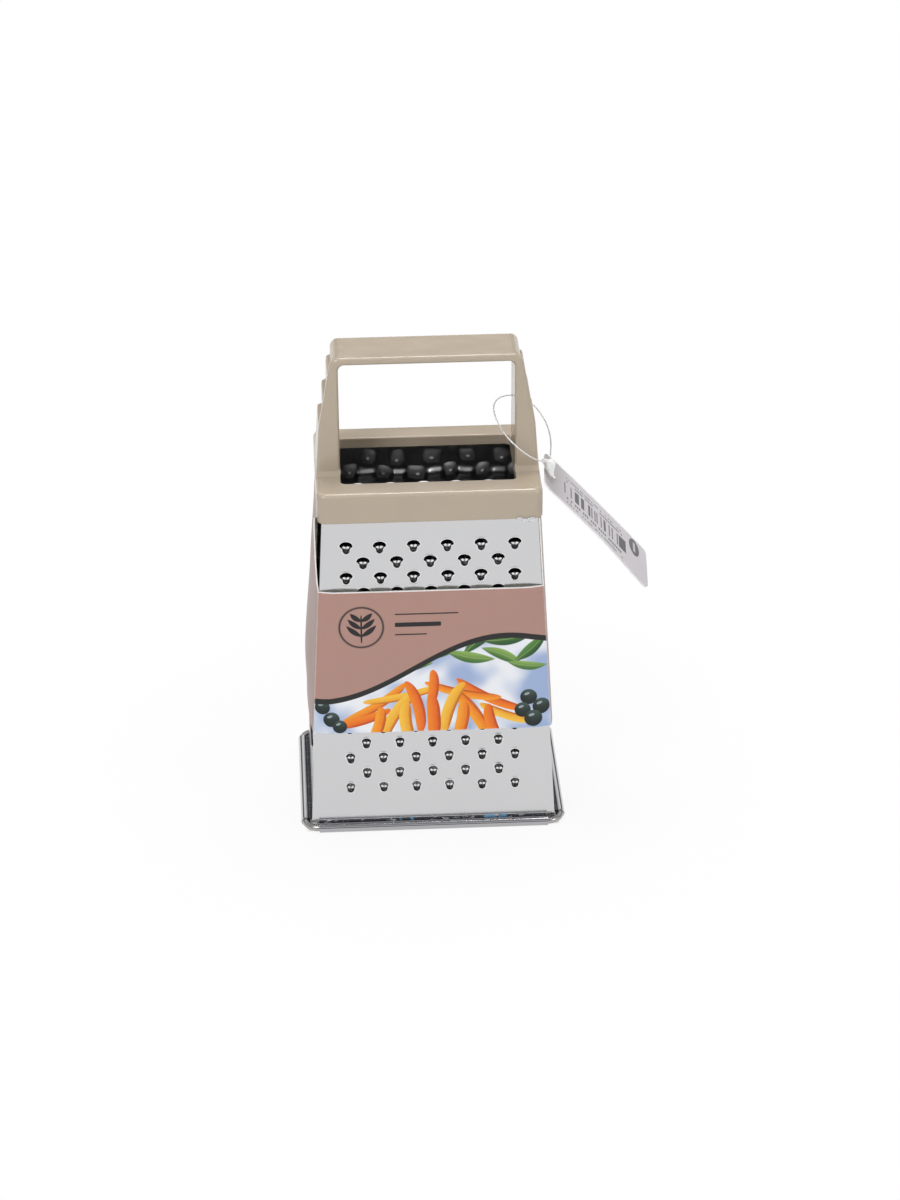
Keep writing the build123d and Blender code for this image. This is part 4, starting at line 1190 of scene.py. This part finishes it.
def card_sleeve():
    front_steps, flap_steps = 16, 8
    front_height, flap_height = SLEEVE_FRONT_TOP - SLEEVE_FOOT, SLEEVE_TOP - SLEEVE_FRONT_TOP
    low_levels = [SLEEVE_FOOT + front_height * index / front_steps for index in range(front_steps + 1)]
    high_levels = [SLEEVE_FRONT_TOP + flap_height * index / flap_steps for index in range(1, flap_steps + 1)]
    points, faces, fold, front = [], [], [], []
    for which in range(4):
        is_flap, is_left = which % 2, which == 3
        grid = []
        for level in low_levels + (high_levels if is_flap else []):
            # The left flap's free corner stands up outside the collar
            lifted = 2.4 * smooth_step(SLEEVE_FRONT_TOP + 8.0, SLEEVE_TOP, level) if is_left else 0.0
            row = sleeve_ring(level)[which]
            grid.append(range(len(points), len(points) + len(row)))
            points += [(x, y, level + lifted * smooth_step(-18.0, -23.5, y)) for x, y in row]
            fold += [1.0] + [0.0] * (len(row) - 2) + [1.0]
        new_faces = grid_faces(grid)
        faces += new_faces
        front += [1.0 if which == 0 else 0.0] * len(new_faces)
    sleeve = piece_from("card_sleeve_printed", points, faces, [PRINTED, BOARD, BOARD_EDGE])
    note(sleeve.data, "fold", fold)
    note(sleeve.data, "front_side", front, domain="FACE")
    work = bmesh.new()
    work.from_mesh(sleeve.data)
    bmesh.ops.remove_doubles(work, verts=work.verts, dist=0.00001)
    work.to_mesh(sleeve.data)
    work.free()
    give_wall(sleeve, CARD, even=True)
    shade_smooth(sleeve, 40.0)
    hand_over(sleeve, BODY, "card_sleeve")


# The tag, its lock and its filament

TAG_SLOPE = math.radians(49.6)
TAG_RUN = Vector((math.cos(TAG_SLOPE), 0.0, -math.sin(TAG_SLOPE)))
TAG_UP = Vector((math.sin(TAG_SLOPE), 0.0, math.cos(TAG_SLOPE)))
TAG_START = Vector((36.6, -3.5, 115.9))
TAG_HOLE_RUN = 3.5
# The card on it: turns about the vertical, about the hole's axis and about its own length, in
# degrees, and how far its hole's edge has slipped down to the filament
CARD_TURNS = (7.0, -3.0, 4.0)
CARD_SLIP = 0.9


def tag_place(run, across, lift):
    return TAG_START + TAG_RUN * run + Vector((0, across, 0)) + TAG_UP * lift


def hung_card(run, across, lift):
    """A point of the card, which hangs from its hole a little turned to the front."""
    hole = tag_place(TAG_HOLE_RUN, 0.0, 0.0)
    turn, steeper, rolled = (math.radians(angle) for angle in CARD_TURNS)
    place = tag_place(run + CARD_SLIP, across, lift) - hole
    over, up = turned(place.y, place.dot(TAG_UP), rolled)
    along, up = turned(place.dot(TAG_RUN), up, steeper)
    place = TAG_RUN * along + Vector((0, over, 0)) + TAG_UP * up
    x, y = turned(place.x, place.y, turn)
    return hole + Vector((x, y, place.z))


def hang_tag():
    """A card with round corners and a punched hole, a little bent along its length."""
    length, width, thick, corner, hole_radius = 47.8, 26.0, 0.5, 3.0, 2.0
    corner_parts, hole_parts = 8, 32
    # The grid of cuts that lets the card bend
    cut_run, cut_across = 2.0, 4.0
    near, far, side = corner + 0.4, length - corner, width / 2 - corner
    card = bmesh.new()
    outline = []
    for x, y, start in ((far, side, 0), (near, side, 90), (near, -side, 180), (far, -side, 270)):
        for index in range(corner_parts + 1):
            angle = math.radians(start + 90 * index / corner_parts)
            outline.append(card.verts.new((x + corner * math.cos(angle), y + corner * math.sin(angle), 0)))
    hole = []
    for index in range(hole_parts):
        angle = 2 * math.pi * index / hole_parts
        spot = (TAG_HOLE_RUN + hole_radius * math.cos(angle), hole_radius * math.sin(angle), 0)
        hole.append(card.verts.new(spot))
    edges = [card.edges.new((loop[index], loop[(index + 1) % len(loop)]))
             for loop in (outline, hole) for index in range(len(loop))]
    bmesh.ops.triangle_fill(card, use_beauty=True, use_dissolve=False, edges=edges, normal=(0, 0, 1))
    cuts = [((cut * cut_run, 0, 0), (1, 0, 0)) for cut in range(1, 25)]
    cuts += [((0, cut * cut_across, 0), (0, 1, 0)) for cut in range(-3, 4)]
    for place, across in cuts:
        bmesh.ops.bisect_plane(card, geom=card.verts[:] + card.edges[:] + card.faces[:], dist=1e-5,
                               plane_co=place, plane_no=across)
    bmesh.ops.recalc_face_normals(card, faces=card.faces)
    if sum(face.normal.z for face in card.faces) < 0:
        bmesh.ops.reverse_faces(card, faces=card.faces)
    mesh = bpy.data.meshes.new("hang_tag_card")
    card.to_mesh(mesh)
    card.free()
    uv = mesh.uv_layers.new(name="print")
    for loop in mesh.loops:
        uv.data[loop.index].uv = mesh.vertices[loop.vertex_index].co.xy
    for vertex in mesh.vertices:
        run, across, _ = vertex.co
        bend = 0.55 * math.sin(math.pi * min(1.0, max(0.0, run / length))) - 0.35 * (across / width) ** 2
        curl = 1.6 * smooth_step(length * 0.5, length, run) * smooth_step(4.0, -width / 2, across)
        vertex.co = (hung_card(run, across, thick / 2 - 0.55 + bend * 0.5) - Vector((0, 0, curl))) * MM
    for material in (TAG_PRINT, TAG_CARD, TAG_CARD):
        mesh.materials.append(material)
    for face in mesh.polygons:
        face.material_index = 0
    tag = give_wall(new_object("hang_tag_card", mesh), thick)
    shade_smooth(tag, 40.0)
    hand_over(tag, "tag", "hang_tag")


def loop_lock():
    """The lock: a clear drop with two small horns at its broad end, tilted on the card."""
    broad_end = Vector((0.0, -1.6))
    along = direction(math.radians(-74.5))
    across = Vector((-along.y, along.x))
    # Along the drop: half width, half thickness, and how far the horns stand back
    profile = [
        (-1.15, 1.75, 0.30, 1.25), (-0.95, 2.12, 0.60, 0.8), (-0.1, 2.25, 0.74, 0.2), (1.1, 1.98, 0.78, 0.0),
        (2.5, 1.52, 0.72, 0.0), (3.9, 1.12, 0.60, 0.0), (5.2, 0.80, 0.48, 0.0), (6.3, 0.52, 0.34, 0.0),
        (6.95, 0.24, 0.20, 0.0),
    ]
    around, tilt = 16, math.radians(42)
    highest, lowered = 2.1, 0.9
    points = []
    for reach, half, thick, horn in profile:
        lift = highest - lowered * smooth_step(0.0, profile[-1][0], reach)
        for index in range(around):
            angle = 2 * math.pi * index / around
            side, up = turned(half * math.cos(angle), thick * math.sin(angle), -tilt)
            back = reach - horn * abs(math.cos(angle)) ** 4
            flat = broad_end + along * back + across * side
            points.append(tag_place(flat.x, flat.y, lift + up))
    last = len(points) - around
    faces = ring_faces(len(profile) - 1, around)
    faces += [tuple(range(around - 1, -1, -1)), tuple(range(last, last + around))]
    lock = piece_from("loop_lock_drop", points, faces, [CLEAR])
    work = bmesh.new()
    work.from_mesh(lock.data)
    bmesh.ops.recalc_face_normals(work, faces=work.faces)
    work.to_mesh(lock.data)
    work.free()
    rounding = lock.modifiers.new("round", "SUBSURF")
    rounding.levels = rounding.render_levels = 1
    baked(lock)
    shade_smooth(lock, 60.0)
    hand_over(lock, "loop", "loop_lock")
    return lock


FILAMENT_RADIUS = 0.225
# The filament's way round the leg and through the tag, from a point on the ledge
LOOP_FROM = Vector((35.0, 0.0, 117.3))
LOOP_ROUTE = [
    (2.5, -4.4, -0.2),
    (1.6, -7.9, 1.7),
    (-0.7, -11.4, 3.7),
    (-3.7, -12.6, 6.0),
    (-7.2, -12.4, 8.9),
    (-10.4, -10.3, 11.6),
    (-12.7, -6.6, 14.1),
    (-14.0, -1.6, 16.1),
    (-13.5, 3.6, 17.0),
    (-11.4, 8.4, 16.6),
    (-7.8, 12.1, 15.6),
    (-3.6, 13.6, 13.8),
    (0.3, 13.5, 10.6),
    (3.0, 13.0, 6.6),
    (4.7, 13.2, 2.0),
    (5.4, 13.7, -2.7),
    (5.1, 12.9, -7.1),
    (4.0, 9.6, -9.9),
    (2.8, 5.0, -10.4),
    (2.1, 0.6, -9.0),
    (2.5, -3.0, -6.7),
    (3.87, -3.7, -4.1),
    (3.1, -4.5, -1.0),
]


def filament(lock):
    curve = bpy.data.curves.new("tag_filament", "CURVE")
    curve.dimensions = "3D"
    spline = curve.splines.new("NURBS")
    spline.points.add(len(LOOP_ROUTE) - 1)
    for point, step in zip(spline.points, LOOP_ROUTE):
        point.co = (*((LOOP_FROM + Vector(step)) * MM), 1.0)
    spline.order_u = 3
    spline.use_endpoint_u = True
    spline.resolution_u = 10
    curve.bevel_depth = FILAMENT_RADIUS * MM
    curve.bevel_resolution = 3
    curve.use_fill_caps = True
    curve.materials.append(NYLON)
    thing = new_object("tag_filament", curve)
    hand_over(thing, "loop", "tag_loop")


# The scrap of film

def film_scrap():
    """A crumpled scrap of clear film, held under the collar's edge."""
    thickness, columns, rows = 0.05, 22, 8
    low, high = (Vector(corner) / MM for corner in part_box("film_scrap"))
    width, depth, height = high - low
    points, grid = [], []
    for row in range(rows + 1):
        grid.append(range(len(points), len(points) + columns + 1))
        for column in range(columns + 1):
            u, v = column / columns, row / rows
            ragged = 0.35 * math.sin(u * 17.0) + 0.25 * math.sin(u * 41.0 + 1.0)
            foot, top = 0.16 + 0.2 * ragged, 0.86 + 0.14 * math.sin(u * 9.0)
            wave = math.sin(u * 24.0 + v * 3.0) * 0.5 + math.sin(u * 11.0 - v * 6.0) * 0.5
            z = low.z + height * (v * top + (1 - v) * foot)
            points.append((low.x + width * u, (low.y + high.y) / 2 + depth * 0.36 * wave,
                           min(high.z, max(low.z, z))))
    scrap = piece_from("film_scrap_crumpled", points, grid_faces(grid), [FILM])
    give_wall(scrap, thickness)
    shade_smooth(scrap, 50.0)
    hand_over(scrap, BODY, "film_scrap")


# The stage

def pale_floor():
    reach = 2500
    corners = [(-reach, -reach, 0), (reach, -reach, 0), (reach, reach, 0), (-reach, reach, 0)]
    floor = piece_from("floor", corners, [(0, 1, 2, 3)])
    pale = Finish("pale_floor", (0.85, 0.85, 0.85), 0.9, Specular_IOR_Level=0.0)
    x, y, _ = pale.parts(pale.place)
    distance = pale.work_out("SQRT", pale.work_out("ADD", pale.times(x, x), pale.times(y, y)))
    beside = pale.work_out("MAXIMUM", *(pale.ramp(pale.away(value), half, half + 2.0)
                                        for value, half in ((x, FOOT_HALF_WIDTH), (y, FOOT_HALF_DEPTH))))
    # White for what the camera sees itself, in a mirror or through clear plastic
    path = pale.put("ShaderNodeLightPath").outputs
    seen = pale.work_out("MAXIMUM", path["Is Camera Ray"], pale.work_out(
        "MAXIMUM", path["Is Glossy Ray"], path["Is Transmission Ray"]))
    lit = pale.times(pale.ramp(distance, 50.0, 150.0, 0.9, 1.0), beside, seen)
    mix = pale.put("ShaderNodeMixShader", Fac=lit)
    white = pale.put("ShaderNodeEmission", Strength=1.0)
    pale.feed(mix.inputs[1], pale.shader.outputs[0])
    pale.feed(mix.inputs[2], white.outputs[0])
    pale.feed(pale.tree.nodes["Material Output"].inputs[0], mix.outputs[0])
    floor.data.materials.append(pale.done())


def white_room():
    """White where the camera looks; mirrors also see a dark room with a bright ceiling."""
    world = bpy.data.worlds.new("white_room")
    bpy.context.scene.world = world
    world.use_nodes = True
    world.node_tree.nodes.clear()
    net = Net(world.node_tree)
    way = net.put("ShaderNodeTexCoord").outputs["Generated"]
    height = net.put("ShaderNodeSeparateXYZ", Vector=way).outputs[2]
    bands = net.put("ShaderNodeValToRGB", Fac=net.ramp(height, -0.2, 1.0))
    stops = bands.color_ramp.elements
    stops[0].color = (1.0, 1.0, 1.0, 1.0)
    stops[1].color = (0.5, 0.5, 0.52, 1.0)
    for position, level in ((0.16, 1.0), (0.24, 0.16), (0.50, 0.10), (0.58, 0.9), (0.74, 1.0), (0.84, 0.35)):
        stops.new(position).color = (level, level, level * 1.02, 1.0)
    path = net.put("ShaderNodeLightPath").outputs
    soft, white = (net.put("ShaderNodeBackground", Color=(1.0, 1.0, 1.0, 1.0), Strength=strength)
                   for strength in (0.40, 1.0))
    room = net.put("ShaderNodeBackground", Color=bands.outputs[0], Strength=1.0)
    direct = net.work_out("MAXIMUM", path["Is Camera Ray"], path["Is Transmission Ray"])
    seen = soft
    for share, other in ((path["Is Glossy Ray"], room), (direct, white)):
        mix = net.put("ShaderNodeMixShader", Fac=share)
        net.feed(mix.inputs[1], seen.outputs[0])
        net.feed(mix.inputs[2], other.outputs[0])
        seen = mix
    net.put("ShaderNodeOutputWorld", Surface=seen.outputs[0])


def soft_lamps():
    aim = Vector((0, 0, 70)) * MM
    for name, place, power in (
        ("key_panel", (-420, -620, 760), 3.6),
        ("fill_panel", (640, -520, 420), 1.1),
        ("top_panel", (60, 160, 900), 3.1),
    ):
        lamp = bpy.data.lights.new(name, "AREA")
        lamp.size = 300 * MM
        lamp.energy = power
        thing = new_object(name, lamp)
        thing.location = Vector(place) * MM
        thing.rotation_euler = (aim - thing.location).to_track_quat("-Z", "Y").to_euler()


photo_camera()
filament(loop_lock())
front_side()
back_side()
left_side()
right_side()
card_sleeve()
hang_tag()
film_scrap()
for node, material in (("handle_moulding", MOULDED), ("base_wire", WIRE)):
    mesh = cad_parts[node].data
    mesh.materials.clear()
    mesh.materials.append(material)
pale_floor()
white_room()
soft_lamps()

bpy.context.scene.view_settings.view_transform = "Standard"
